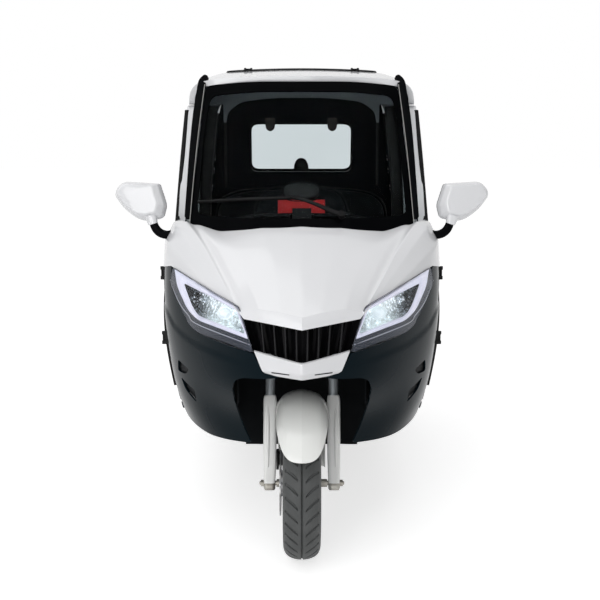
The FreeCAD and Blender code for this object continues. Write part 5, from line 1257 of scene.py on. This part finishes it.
for side_name, sign in SIDES:
    body = "door_" + side_name
    inside_car = (0, AXLE_Y + 0.85, 0.9)
    two_tone("door", side_name, sign, door_loop, window_loop, 0.014, body, body, 0.028, inside_car)
    places, faces = region(grown(window_loop, 1.015, DOOR_WINDOW), [], 0.04)
    pane = add_piece("door_window_" + side_name, (on_side(places, sign, -0.012), faces), SIDE_GLASS, body,
                     ("door_glass_" + side_name,), seen_from=inside_car)
    walls(pane, 0.004)
    parts = [ring_bead(on_side(window_loop, sign, -0.001), 0.0045, 0.004, (1, 0, 0))]
    edge = np.array([(0.4595, 0.46), (0.4595, 0.75), (0.4595, 1.030), (0.474, 1.075), (0.550, 1.259), (0.636, 1.466)])
    parts.append(swept(on_side(edge, sign, -0.001), [0.011, 0.011, 0.011, 0.010, 0.009, 0.0085], 0.0045, (1, 0, 0),
                       samples=90, around=12))
    add_piece("door_seals_" + side_name, joined(parts), SEAL_BLACK, body)

# The rear quarters and the sills: fixed shells in the same two colours, cut out round the rear wheels, with a
# tinted window each. The sills close the floor's edge under the doors.
ARCH_RADIUS = 0.300
arch_turn = np.linspace(math.acos(-0.2947 / ARCH_RADIUS), math.asin(0.0937 / ARCH_RADIUS), 24)
arch = np.stack([WHEELBASE + ARCH_RADIUS * np.cos(arch_turn), AXLE_Z + ARCH_RADIUS * np.sin(arch_turn)], -1)
quarter_loop = np.concatenate([[(DOOR_REAR + 0.0055, 0.300)], arch,
                               [(CABIN_REAR, 1.4885), (DOOR_REAR + 0.0055, 1.4885)]])
quarter_loop = divided(quarter_loop, 0.012)
QUARTER_WINDOW = [(1.290, 1.010), (1.290, 1.428), (1.700, 1.428), (1.820, 1.300), (1.820, 1.010)]
quarter_hole = divided(rounded(QUARTER_WINDOW, [0.03, 0.03, 0.04, 0.04, 0.03]), 0.010)
SILL_EDGE = [(0.453, 0.372), (0.700, 0.318), (1.219, 0.300), (1.219, 0.394), (0.453, 0.394)]
inside_car = (0, AXLE_Y + 1.5, 0.9)
for side_name, sign in SIDES:
    two_tone("quarter", side_name, sign, quarter_loop, quarter_hole, 0.016, "chassis", "side_panel_" + side_name,
             0.022, inside_car)
parts = []
for sign in (-1, 1):
    places, faces = region(grown(quarter_hole, 1.012, QUARTER_WINDOW), [], 0.04)
    parts.append((on_side(places, sign, -0.008), faces if sign > 0 else faces[:, ::-1]))
pane = add_piece("quarter_windows", joined(parts), SIDE_GLASS, "chassis", ("quarter_glass",),
                 seen_from=inside_car)
walls(pane, 0.004)
add_piece("quarter_seals",
          joined([ring_bead(on_side(quarter_hole, sign, 0.0), 0.0045, 0.004, (1, 0, 0)) for sign in (-1, 1)]),
          SEAL_BLACK, "chassis")
places, faces = region(divided(rounded(SILL_EDGE, 0.01), 0.010), [], 0.014)
sills = add_piece("sill_mouldings", both_sides((on_side(places, 1), faces)), SLATE_PAINT, "chassis",
                  ("sills",), seen_from=(0, AXLE_Y + 0.85, 0.35))
walls(sills, 0.010, 0.0015)

# The rear wall: a white moulding, rounded at its corners and leaning in towards the roof, with a slate bumper
# under it. It has an opening for the glass hatch.
REAR_LEVELS = (0.340, 0.600, 0.860, 1.120, 1.380, 1.640)
REAR_TABLE = mirrored([[(0, 0.866), (0.290, 0.791), (0.410, 0.493), (0.452, 0)],
                       [(0, 1.0), (0.310, 0.925), (0.440, 0.590), (0.490, 0)],
                       [(0, 0.985), (0.320, 0.918), (0.455, 0.582), (0.501, 0)],
                       [(0, 0.791), (0.312, 0.731), (0.440, 0.470), (0.481, 0)],
                       [(0, 0.537), (0.290, 0.493), (0.415, 0.313), (0.453, 0)],
                       [(0, 0.254), (0.260, 0.231), (0.370, 0.142), (0.410, 0)]])
REAR_DEPTH = 0.134
REAR_COLUMN = 0.165
HATCH_EDGE = [(-0.262, 1.197), (-0.262, 1.447), (0.262, 1.447), (0.262, 1.197)]


def rear(column, z):
    """The rear wall at a column, counted outwards from the middle, and a height: x, and its share of the depth,
    splined both ways."""
    return tensor(REAR_TABLE, natural_weights(REAR_LEVELS, z), natural_weights(np.arange(-3, 4), column))


def on_rear(loop):
    """An outline seen from behind in the rear wall's own columns, held at its outer edge."""
    low = np.zeros(len(loop))
    column = halved(lambda at: rear(at, loop[:, 1])[0] - np.abs(loop[:, 0]), low, low + 3.0)
    return np.stack([np.sign(loop[:, 0]) * column * REAR_COLUMN, loop[:, 1]], -1)


def rear_loop(corners, radius, spacing=0.010):
    """A rounded outline seen from behind, in the rear wall's own columns."""
    return on_rear(divided(rounded(corners, radius), spacing))


def rear_place(places, out=0.0):
    """Places on the rear wall from its columns and heights, moved out along a normal worked out as the nose's."""
    column = places[:, 0] / REAR_COLUMN
    z = places[:, 1]

    def at(c, h):
        x, share = rear(c, h)
        return np.stack([x, CABIN_REAR + 0.001 + share * REAR_DEPTH, h], -1)

    here = at(column, z)
    normal = unit(np.cross(at(column, z + 1e-3) - here, at(column + 1e-3, z) - here))
    return here + normal * np.reshape(out, (-1, 1)) + (0, AXLE_Y, 0)


wall_top = [(0.0, 1.6125), (0.210, 1.6075), (0.340, 1.5875), (0.4080, 1.5460), (0.4240, 1.4900)]
wall_edge = np.array(wall_top + [(0.52, 1.488), (0.52, 0.561)])
wall_edge = np.concatenate([wall_edge, wall_edge[:0:-1] * (-1, 1)])
hatch_loop = rear_loop(HATCH_EDGE, 0.045)
places, faces = region(on_rear(divided(wall_edge, 0.010)), [hatch_loop], 0.016)
wall = add_piece("rear_wall_moulding", (rear_place(places), faces), WHITE_PAINT, "chassis",
                 ("rear_wall",), seen_from=(0, AXLE_Y + 1.4, 1.0))
walls_lined(wall, 0.022, 0.0025, DARK_LINING)
x = np.linspace(-0.4075, 0.4075, 97)
wall_line = rear_place(on_rear(np.stack([x, np.interp(np.abs(x), *np.array(wall_top).T) - 0.0005], -1)), -0.0005)
roof_line = np.stack([x, 0 * x + AXLE_Y + CABIN_REAR + 0.001,
                      roof(roof_column(x, 0 * x + CABIN_REAR), 0 * x + CABIN_REAR)[1] - 0.0015], -1)
share = np.linspace(0, 1, 7)[:, None, None]
points = wall_line * (1 - share) + roof_line * share + np.array([0, 0, 0.002]) * np.sin(share * math.pi)
cap = add_piece("rear_wall_cap", (points.reshape(-1, 3), grid_faces(7, 97)), WHITE_PAINT, "chassis",
                seen_from=(0, AXLE_Y + 1.4, 1.0))
walls(cap, 0.004)
bumper_edge = np.array([(0.0, 0.3605), (0.52, 0.3605), (0.52, 0.5590), (0.0, 0.5590)])
bumper_edge = on_rear(divided(np.concatenate([bumper_edge[:3], bumper_edge[2:0:-1] * (-1, 1)]), 0.010))
places, faces = region(bumper_edge, [], 0.016)
swell = 0.0105 * smooth_step(0.0797 - np.abs(places[:, 1] - 0.46), -0.02,
                             0.02) * smooth_step(0.495 - np.abs(places[:, 0]), 0, 0.04)
bumper = add_piece("rear_bumper_moulding", (rear_place(places, swell), faces), SLATE_PAINT, "chassis",
                   ("rear_bumper",), seen_from=(0, AXLE_Y + 1.4, 0.5))
walls(bumper, 0.018, 0.002)

# The tail lamps: red lenses that wrap the corners, ribbed inside, one above the other with a
# clear reversing strip between them.
LAMP_RED = finish("tail_lamp_red", (0.30, 0.006, 0.008), (0.22, 0.004, 0.006), 30, 0.08, 0.06, 300, 0.05,
                  Coat_Weight=0.6)
LAMP_STRIP = finish("tail_lamp_clear", (0.62, 0.60, 0.58), (0.5, 0.48, 0.46), 30, 0.12, 0.06, 300, 0.05,
                    Coat_Weight=0.5)
for name, low, high, paint, slot in (("lower", 0.7625, 0.826, LAMP_RED, "lamp_red"),
                                     ("middle", 0.829, 0.846, LAMP_STRIP, "lamp_clear"),
                                     ("upper", 0.849, 0.9275, LAMP_RED, "lamp_red")):
    loop = rear_loop([(0.403, low), (0.403, high), (0.520, high), (0.520, low)], [0.008, 0.008, 0.001, 0.001], 0.004)
    places, faces = region(loop, [], 0.005)
    edge = np.minimum(np.minimum(places[:, 1] - low, high - places[:, 1]),
                      np.abs(places[:, 0]) - np.abs(loop[:, 0]).min())
    ribs = 0.0012 * np.abs(np.sin(places[:, 1] * 520)) * smooth_step(edge, 0.002, 0.006)
    out = 0.002 + 0.010 * smooth_step(edge, -0.002, 0.009) + ribs
    points, faces = both_sides((rear_place(places, out), faces))
    stands = ("tail_lamps",) if name == "upper" else ()
    lens = add_piece("tail_lamp_" + name, (points, faces), paint, "chassis", stands,
                     seen_from=(0, AXLE_Y + 1.4, 0.85))
    walls(lens, 0.008, 0.001)

# The rear hatch: a frameless tinted pane that lifts on two hinge plates, with a domed latch plate in the middle
# of its lower edge.
HATCH_GLASS = finish("hatch_glass", (0.68, 0.71, 0.73), (0.66, 0.69, 0.71), 3, 0.0, 0.01, 200, 0.0,
                     Transmission_Weight=1.0, IOR=1.2)
HATCH_INSIDE = (0, AXLE_Y + 1.4, 1.3)
HATCH_HINGES = (-0.157, 0.157)
HINGE_BROWN = finish("hinge_plate", (0.030, 0.012, 0.011), (0.010, 0.009, 0.010), 35, 0.4, 0.2, 600, 0.15)
loop = rear_loop([(-0.2560, 1.203), (-0.2560, 1.4425), (0.2560, 1.4425), (0.2560, 1.203)], 0.042)
places, faces = region(loop, [], 0.035)
pane = add_piece("hatch_pane", (rear_place(places, -0.008), faces), HATCH_GLASS, "rear_hatch",
                 ("rear_hatch",), seen_from=HATCH_INSIDE)
walls(pane, 0.005, 0.001)
dome = [(-0.038, 1.199), (-0.037, 1.232), (-0.023, 1.260), (0.0, 1.2685), (0.023, 1.260), (0.037, 1.232),
        (0.038, 1.199)]
plates = [("latch_plate", dome, [0.004, 0.02, 0.02, 0.02, 0.02, 0.02, 0.004], HINGE_BLACK)]
for x in HATCH_HINGES:
    shape = [(x - 0.026, 1.4465), (x - 0.022, 1.412), (x, 1.398), (x + 0.022, 1.412), (x + 0.026, 1.4465)]
    plates.append(("hatch_hinge_plate_" + ("left" if x < 0 else "right"), shape, [0.003, 0.014, 0.014, 0.014, 0.003],
                   HINGE_BROWN))
for name, shape, radii, paint in plates:
    places, faces = region(rear_loop(shape, radii, 0.004), [], 0.007)
    plate = add_piece(name, (rear_place(places, -0.0145), faces), paint, "rear_hatch",
                      seen_from=HATCH_INSIDE)
    walls(plate, 0.005, 0.0012)
knob = [(0.0, 1.965), (0.0, 1.990), (0.0, 2.003)]
add_piece("hatch_latch_knob",
          swept([(x, AXLE_Y + y, 1.231) for x, y in knob], [0.010, 0.010, 0.0125], [0.010, 0.010, 0.0125], (1, 0, 0),
                samples=16, around=32), HINGE_BLACK, "rear_hatch")
add_piece("hatch_seal", ring_bead(rear_place(hatch_loop, -0.002), 0.0030, 0.0036, (0, 1, 0)), SEAL_BLACK, "chassis")
add_piece("hatch_pane_seal", ring_bead(rear_place(loop, -0.0102), 0.0035, 0.0046, (0, 1, 0)), SEAL_BLACK, "rear_hatch")
clear = rear_loop([(-0.2530, 1.2115), (-0.2530, 1.4345), (0.2530, 1.4345), (0.2530, 1.2115)], 0.040)
places, faces = region(loop, [clear], 0.005)
border = add_piece("hatch_border", (rear_place(places, -0.0132), faces), BORDER_BLACK, "rear_hatch",
                   seen_from=HATCH_INSIDE)
walls(border, 0.0008)
parts = []
for x in HATCH_HINGES:
    shape = [(x - 0.026, 1.449), (x - 0.025, 1.468), (x + 0.025, 1.468), (x + 0.026, 1.449)]
    places, faces = region(rear_loop(shape, 0.006, 0.004), [], 0.007)
    parts.append((rear_place(places, -0.0225), faces))
straps = add_piece("hatch_hinge_straps", joined(parts), HINGE_BROWN, "chassis",
                   seen_from=HATCH_INSIDE)
walls(straps, 0.003, 0.0008)

# The hoop: a steel hoop behind the doors, boxed in with grey board over the heads and dark trim down the posts.
HOOP_CROWN = [(0.123, 1.5344), (0.2608, 1.5175), (0.3173, 1.4752), (0.3240, 1.4300), (0.3350, 1.4300),
              (0.3360, 1.5090), (0.4080, 1.5050), (0.4050, 1.5350), (0.3350, 1.5800), (0.2000, 1.6120)]
CROWN_ROUND = [0.06, 0.04, 0.03, 0.004, 0.004, 0.01, 0.01, 0.02, 0.03, 0.06]
crown_loop = divided(rounded(mirrored_loop(HOOP_CROWN), CROWN_ROUND + CROWN_ROUND[::-1]), 0.010)
places, faces = region(crown_loop, [], 0.016)
bulge = 0.004 * smooth_step(places[:, 1], 1.50, 1.56)
points = np.stack([places[:, 0], AXLE_Y + DOOR_REAR + 0.004 - bulge, places[:, 1]], -1)
hoop_piece = add_piece("hoop_crown", (points, faces), ROOF_LINING, "chassis",
                       seen_from=(0, AXLE_Y + 3, 1.4))
walls(hoop_piece, 0.012, 0.002)
parts = []
for sign in (-1, 1):
    path = np.array([(0.4200, 0.66), (0.4240, 0.90), (0.4180, 1.15), (0.4000, 1.35), (0.3850, 1.50)]) * (sign, 1)
    line = np.stack([path[:, 0], path[:, 0] * 0 + AXLE_Y + DOOR_REAR + 0.020, path[:, 1]], -1)
    parts.append(swept(line, 0.026, 0.014, (1, 0, 0), power=5, samples=30, around=24))
    inner = np.array([(0.3300, 1.16), (0.3300, 1.30), (0.3295, 1.435)]) * (sign, 1)
    line = np.stack([inner[:, 0], inner[:, 0] * 0 + AXLE_Y + DOOR_REAR + 0.010, inner[:, 1]], -1)
    parts.append(swept(line, 0.005, 0.004, (1, 0, 0), power=4, samples=12, around=12))
add_piece("hoop_posts", joined(parts), HINGE_BLACK, "chassis")

# The seats: foam cushions in black grained leathercloth over a board, piped round their edges. The driver's has
# a red band across its back and a small pillow at its head.
SEAT_BLACK = finish("seat_leathercloth", (0.004, 0.0060, 0.0080), (0.008, 0.0105, 0.0130), 9, 0.45, 0.2, 700, 0.5,
                    Specular_IOR_Level=0.12)
PIPING_GREY = finish("seat_piping", (0.008, 0.010, 0.012), (0.014, 0.016, 0.018), 20, 0.5, 0.2, 700, 0.3,
                     Specular_IOR_Level=0.2)
SEAT_RED = finish("seat_band_red", (0.78, 0.008, 0.012), (0.62, 0.006, 0.009), 14, 0.45, 0.2, 700, 0.5)
PILLOW_GREY = finish("pillow_cloth", (0.018, 0.020, 0.022), (0.030, 0.032, 0.034), 16, 0.5, 0.2, 700, 0.5)
FOAM_VOXEL = 0.006
FOAM_PRESSURE = 4.0
FOAM_FRAMES = 20


def pillow_form(centre, half, tilt, power, rows=48, around=96):
    """A closed cushion: a superellipsoid |x/a|^p + |y/b|^p + |z/c|^p = 1, pulled in a little between its corners
    and turned about X by the tilt."""
    up = np.linspace(-math.pi / 2, math.pi / 2, rows)[:, None]
    turn = full_turn(around)[None, :]
    raw = np.stack([np.cos(up) * np.cos(turn), np.cos(up) * np.sin(turn), np.sin(up) + 0 * turn], -1)
    size = (np.abs(raw) ** power).sum(-1, keepdims=True) ** (-1 / power)
    shape = raw * size
    pull = 1 - 0.035 * np.cos(shape * math.pi / 2)[..., ::-1].prod(-1, keepdims=True)
    shape = shape * pull * half
    y = shape[..., 1] * math.cos(tilt) - shape[..., 2] * math.sin(tilt)
    z = shape[..., 1] * math.sin(tilt) + shape[..., 2] * math.cos(tilt)
    points = np.stack([centre[0] + shape[..., 0], AXLE_Y + centre[1] + y, centre[2] + z], -1)
    return points.reshape(-1, 3), grid_faces(rows, around, False, True)


def stuffed(piece, cap):
    """Swells a cushion as its foam would: remeshed, blown up as cloth for some frames with its movement capped,
    applied and subdivided once."""
    scene = bpy.context.scene
    bpy.context.view_layer.objects.active = piece
    remesh = piece.modifiers.new("even_mesh", "REMESH")
    remesh.mode = "VOXEL"
    remesh.voxel_size = FOAM_VOXEL
    bpy.ops.object.modifier_apply(modifier=remesh.name)
    before = values_of(piece.data.vertices, "co", 3)
    cloth = piece.modifiers.new("cloth", "CLOTH")
    cloth.settings.use_pressure = True
    cloth.settings.uniform_pressure_force = FOAM_PRESSURE
    cloth.settings.effector_weights.gravity = 0
    cloth.point_cache.frame_start = 1
    cloth.point_cache.frame_end = FOAM_FRAMES
    for frame_number in range(1, FOAM_FRAMES + 1):
        scene.frame_set(frame_number)
    bpy.ops.object.modifier_apply(modifier=cloth.name)
    scene.frame_set(1)
    moved = values_of(piece.data.vertices, "co", 3) - before
    size = np.linalg.norm(moved, axis=1, keepdims=True)
    moved *= np.minimum(1, cap / np.maximum(size, 1e-9))
    piece.data.vertices.foreach_set("co", (before + moved).ravel())
    piece.data.polygons.foreach_set("use_smooth", np.ones(len(piece.data.polygons), bool))
    piece.data.update()
    finer = piece.modifiers.new("finer", "SUBSURF")
    finer.levels = finer.render_levels = 1


cushions = [("driver_cushion", (0, 0.905, 0.600), (0.208, 0.160, 0.046), math.radians(-3), SEAT_BLACK, 0.55, 4.5,
             0.007, ("driver_seat",)),
            ("driver_back", (0, 1.108, 0.890), (0.206, 0.030, 0.272), math.radians(-6), SEAT_BLACK, 0.55, 4.5, 0.007,
             ()),
            ("driver_pillow", (0, 1.100, 1.140), (0.080, 0.030, 0.042), math.radians(-6), PILLOW_GREY, 0.7, 2.6, 0.004,
             ()),
            ("bench_cushion", (0, 1.545, 0.646), (0.420, 0.158, 0.040), math.radians(-3), SEAT_BLACK, 0.55, 4.5, 0.007,
             ("rear_bench",)),
            ("bench_back", (0, 1.725, 0.900), (0.420, 0.034, 0.225), math.radians(-8), SEAT_BLACK, 0.55, 4.5, 0.007,
             ()), ]
for name, centre, half, tilt, cloth, fill, power, cap, stands in cushions:
    cushion = add_piece(name, pillow_form(centre, np.array(half) - 0.004, tilt, power), cloth, "chassis",
                        stands, sharp=180)
    stuffed(cushion, cap)
parts = []
for name, centre, half, tilt, cloth, fill, power, cap, stands in cushions:
    turn = full_turn(160)
    flat = "cushion" in name
    first, second = (half[0], half[1]) if flat else (half[0], half[2])
    size = squircle(turn, power)
    a = first * size * np.cos(turn)
    b = second * size * np.sin(turn)
    y, z = (b, 0 * b) if flat else (0 * b, b)
    loop = np.stack([a + centre[0], AXLE_Y + centre[1] + y * math.cos(tilt) - z * math.sin(tilt),
                     centre[2] + y * math.sin(tilt) + z * math.cos(tilt)], -1)
    parts.append(ring_bead(loop, 0.0032, 0.0032, (0, 0.3, 1) if flat else (0, 1, 0.1), 8))
add_piece("seat_piping", joined(parts), PIPING_GREY, "chassis")
across = np.linspace(-1, 1, 33)[None, :]
up = np.linspace(0, 1, 25)[:, None]
lean = np.tan(math.radians(6))
z = 0.960 + 0.146 * up
y = 1.108 + (z - 0.890) * lean - 0.0385 + 0.004 * across ** 4 + 0.003 * (2 * up - 1) ** 6
points = np.stack([0.1 * across + 0 * up, AXLE_Y + y + 0 * across, z + 0 * across], -1)
band = add_piece("driver_back_band", (points.reshape(-1, 3), grid_faces(25, 33)), SEAT_RED, "chassis",
                 seen_from=(0, AXLE_Y + 2, 1.0))
walls(band, 0.006, 0.0015)
parts = []
for path in ([(-0.15, 0.80, 0.546), (0.15, 0.80, 0.546)], [(-0.15, 1.05, 0.546), (0.15, 1.05, 0.546)]):
    parts.append(bar((path[0][0], AXLE_Y + path[0][1], path[0][2] + 0.006),
                     (path[1][0], AXLE_Y + path[1][1], path[1][2] + 0.006), 0.009))
add_piece("driver_seat_rails", joined(parts), FRAME_STEEL, "chassis")

# The mirrors: white shells with a flat front face and a facet all round it, with the glass let in behind, on
# black arms from the door pillars.
MIRROR_SILVER = finish("mirror_silver", (0.85, 0.86, 0.87), (0.82, 0.83, 0.84), 5, 0.02, 0.02, 200, 0.0, Metallic=1.0)
MIRROR_EDGE = [(0.474, 1.129), (0.497, 1.206), (0.626, 1.214), (0.652, 1.186), (0.656, 1.162), (0.622, 1.115),
               (0.578, 1.082), (0.545, 1.074), (0.486, 1.084)]
MIRROR_ROUND = [0.014, 0.010, 0.025, 0.02, 0.02, 0.03, 0.02, 0.02, 0.014]
MIRROR_FACE = (0.600, 1.185)
SHELL_ROWS = [(0.02, 0.3385), (0.40, 0.3388), (0.77, 0.3400), (0.94, 0.3570), (0.995, 0.3700), (1.0, 0.3800),
              (0.999, 0.3905), (0.985, 0.3915), (0.962, 0.3915), (0.958, 0.3880)]


def mirror_shell():
    """The shell: the outline shrunk row by row towards its flat front face, and turned in behind."""
    loop = rounded(MIRROR_EDGE, MIRROR_ROUND, 12)
    middle = np.array(MIRROR_FACE)
    rows = bent_weights(len(SHELL_ROWS), np.linspace(0, len(SHELL_ROWS) - 1, 73), 0.16) @ np.array(SHELL_ROWS)
    flat = middle + (loop - middle)[None] * rows[:, :1, None]
    points = np.stack([flat[..., 0], AXLE_Y + rows[:, 1:2] + 0 * flat[..., 0], flat[..., 1]], -1)
    points = np.concatenate([points[:1] * 0 + points[:1].mean(1, keepdims=True), points])
    return points.reshape(-1, 3), grid_faces(len(points), len(loop), False, True)


collar = swept([(0.5215, AXLE_Y + 0.356, 1.066), (0.5260, AXLE_Y + 0.357, 1.080), (0.5300, AXLE_Y + 0.359, 1.096)],
               [0.0165, 0.019, 0.021], [0.0150, 0.017, 0.018], (1, 0, 0), power=3, samples=16, around=32)
add_piece("mirror_shells", both_sides(joined([mirror_shell(), collar])), WHITE_PAINT, "chassis",
          ("mirror_housings",), seen_from=(0, AXLE_Y + 4, 1.15))
loop = np.array(MIRROR_FACE) + (rounded(MIRROR_EDGE, MIRROR_ROUND, 8) - MIRROR_FACE) * 0.963
places, faces = region(divided(loop, 0.006), [], 0.02)
pane = add_piece("mirror_panes",
                 both_sides((np.stack([places[:, 0], 0 * places[:, 0] + AXLE_Y + 0.3888, places[:, 1]], -1), faces)),
                 MIRROR_SILVER, "chassis", ("mirror_glasses",), seen_from=(0, AXLE_Y - 1, 1.15))
walls(pane, 0.002)
arm = [(0.442, AXLE_Y + 0.347, 1.038), (0.470, AXLE_Y + 0.349, 1.029), (0.499, AXLE_Y + 0.352, 1.037),
       (0.516, AXLE_Y + 0.354, 1.058), (0.522, AXLE_Y + 0.356, 1.080)]
add_piece("mirror_stalks",
          both_sides(swept(arm, [0.0115, 0.0115, 0.012, 0.0125, 0.012], [0.014, 0.0145, 0.0150, 0.0145, 0.0135],
                           (0, 1, 0), power=3, samples=40, around=24)), PILLAR_BLACK, "chassis",
          ("mirror_arms",))

# The wiper: a flat black arm on a domed spindle at the windscreen's foot, with a long blade that lies across the
# glass, hinged at its middle.
WIPER_BLACK = finish("wiper_black", (0.003, 0.003, 0.0035), (0.006, 0.006, 0.0065), 25, 0.4, 0.2, 600, 0.1,
                     Specular_IOR_Level=0.1)
LIFT = np.array([0, AXLE_Y - 0.018, 0.010])
parts = [swept(np.array([(0.135, 0.245, 1.099), (0.100, 0.252, 1.110), (0.040, 0.262, 1.136), (-0.040, 0.276, 1.159)])
               + LIFT, [0.006, 0.005, 0.004, 0.003], [0.010, 0.009, 0.007, 0.005], (0, 0.56, -0.83), power=4,
               samples=40, around=16),
         swept(np.array([(-0.360, 0.332, 1.141), (-0.180, 0.302, 1.151), (-0.006, 0.275, 1.159)]) + LIFT
               + (0, 0.006, -0.004), [0.003, 0.0045, 0.003], [0.004, 0.006, 0.004], (0, 0.56, -0.83), power=4,
               samples=50, around=14),
         swept(np.array([(-0.360, 0.332, 1.141), (-0.180, 0.302, 1.151), (-0.006, 0.275, 1.159)]) + LIFT
               + (0, 0.0125, -0.0085), 0.0015, 0.005, (0, 0.56, -0.83), samples=50, around=8),
         bar(np.array((0.135, 0.259, 1.090)) + LIFT, np.array((0.135, 0.238, 1.104)) + LIFT, 0.011)]
add_piece("wiper_arm_and_blade", joined(parts), WIPER_BLACK, "chassis", ("wiper",))

# The studio: a pale floor under white air that is a little lighter on the picture's left, with wide soft lamps
# above, in front, low by the wheel and at the side. The camera stands square in front of the nose, where the
# photograph was taken from.


def paper(name, color, glow):
    """Matt pale paper. To the camera and to glass and metal it also glows a little, so that it reads as white
    while it keeps the shadow."""
    material = finish(name, (color, color, color), (color * 0.99, color * 0.99, color * 0.99), 0.5, 0.9, 0.05, 40,
                      0.02, Specular_IOR_Level=0.1)
    tree = material.node_tree
    tree.links.new(eye_rays(tree), tree.nodes["Principled BSDF"].inputs["Emission Strength"])
    tree.nodes["Principled BSDF"].inputs["Emission Color"].default_value = (glow, glow, glow, 1)
    return material


def eye_rays(tree, also=("Is Transmission Ray", "Is Glossy Ray")):
    """1 for camera rays and the kinds named, and 0 for the rays that light the object."""
    rays = tree.nodes.new("ShaderNodeLightPath")
    most = rays.outputs["Is Camera Ray"]
    for name in also:
        either = tree.nodes.new("ShaderNodeMath")
        either.operation = "MAXIMUM"
        tree.links.new(most, either.inputs[0])
        tree.links.new(rays.outputs[name], either.inputs[1])
        most = either.outputs["Value"]
    return most


PAPER_WHITE = 0.80
PAPER_GLOW = 0.62
FLOOR_HALF = 40
AIR_LIGHT = 0.58
AIR_RIGHT = 0.72
LAMPS_AIM = (0, 0, 0.8)
CAMERA_AHEAD = 3.1
CAMERA_HEIGHT = 1.3622
CAMERA_DIP = 9.309
line = np.linspace(-FLOOR_HALF, FLOOR_HALF, 9)
x, y = np.meshgrid(line, line, indexing="ij")
mesh = bpy.data.meshes.new("studio_floor")
mesh.from_pydata(np.stack([x, y, 0 * x], -1).reshape(-1, 3).tolist(), [], grid_faces(9, 9)[:, ::-1].tolist())
mesh.materials.append(paper("studio_paper", PAPER_WHITE, PAPER_GLOW))
floor = bpy.data.objects.new("studio_floor", mesh)
bpy.context.scene.collection.objects.link(floor)


def soft_lamp(name, place, size, watts):
    """A square area lamp that faces the middle of the object."""
    data = bpy.data.lights.new(name, "AREA")
    data.size = size
    data.energy = watts
    lamp = bpy.data.objects.new(name, data)
    lamp.location = place
    lamp.rotation_euler = (Vector(LAMPS_AIM) - Vector(place)).to_track_quat("-Z", "Y").to_euler()
    bpy.context.scene.collection.objects.link(lamp)


soft_lamp("lamp_above", (-0.4, -0.9, 4.6), 4.5, 60)
soft_lamp("lamp_front", (-2.6, -4.7, 2.9), 3.0, 50)
soft_lamp("lamp_low", (-0.7, -4.6, 0.7), 1.6, 29)
soft_lamp("lamp_side", (4.2, -2.0, 1.8), 2.4, 12)

world = bpy.data.worlds.new("studio_air")
world.use_nodes = True
add_node = world.node_tree.nodes.new
link = world.node_tree.links.new
air = world.node_tree.nodes["Background"]
strength = add_node("ShaderNodeMapRange")
set_sockets(strength, {"To Min": AIR_LIGHT, "To Max": 1.0})
link(eye_rays(world.node_tree), strength.inputs["Value"])
air.inputs["Color"].default_value = (1, 1, 1, 1)
towards = add_node("ShaderNodeTexCoord")
parts_of = add_node("ShaderNodeSeparateXYZ")
side_air = add_node("ShaderNodeMapRange")
set_sockets(side_air, {"From Min": -0.6, "From Max": 0.6, "To Min": 1.0, "To Max": AIR_RIGHT})
dimmed = add_node("ShaderNodeMath")
dimmed.operation = "MULTIPLY"
seen = add_node("ShaderNodeMix")
link(towards.outputs["Generated"], parts_of.inputs["Vector"])
link(parts_of.outputs["X"], side_air.inputs["Value"])
link(side_air.outputs["Result"], dimmed.inputs[0])
link(strength.outputs["Result"], dimmed.inputs[1])
link(eye_rays(world.node_tree, ("Is Transmission Ray",)), seen.inputs["Factor"])
link(dimmed.outputs["Value"], seen.inputs["A"])
link(strength.outputs["Result"], seen.inputs["B"])
link(seen.outputs["Result"], air.inputs["Strength"])
bpy.context.scene.world = world

camera_data = bpy.data.cameras.new("camera")
camera_data.sensor_width = 36
camera_data.lens = 59.09
camera = bpy.data.objects.new("camera", camera_data)
camera.location = (-0.006, AXLE_Y - CAMERA_AHEAD, CAMERA_HEIGHT)
camera.rotation_euler = (math.radians(90 - CAMERA_DIP), 0, 0)
bpy.context.scene.collection.objects.link(camera)
bpy.context.scene.camera = camera
bpy.context.scene.view_settings.view_transform = "Standard"
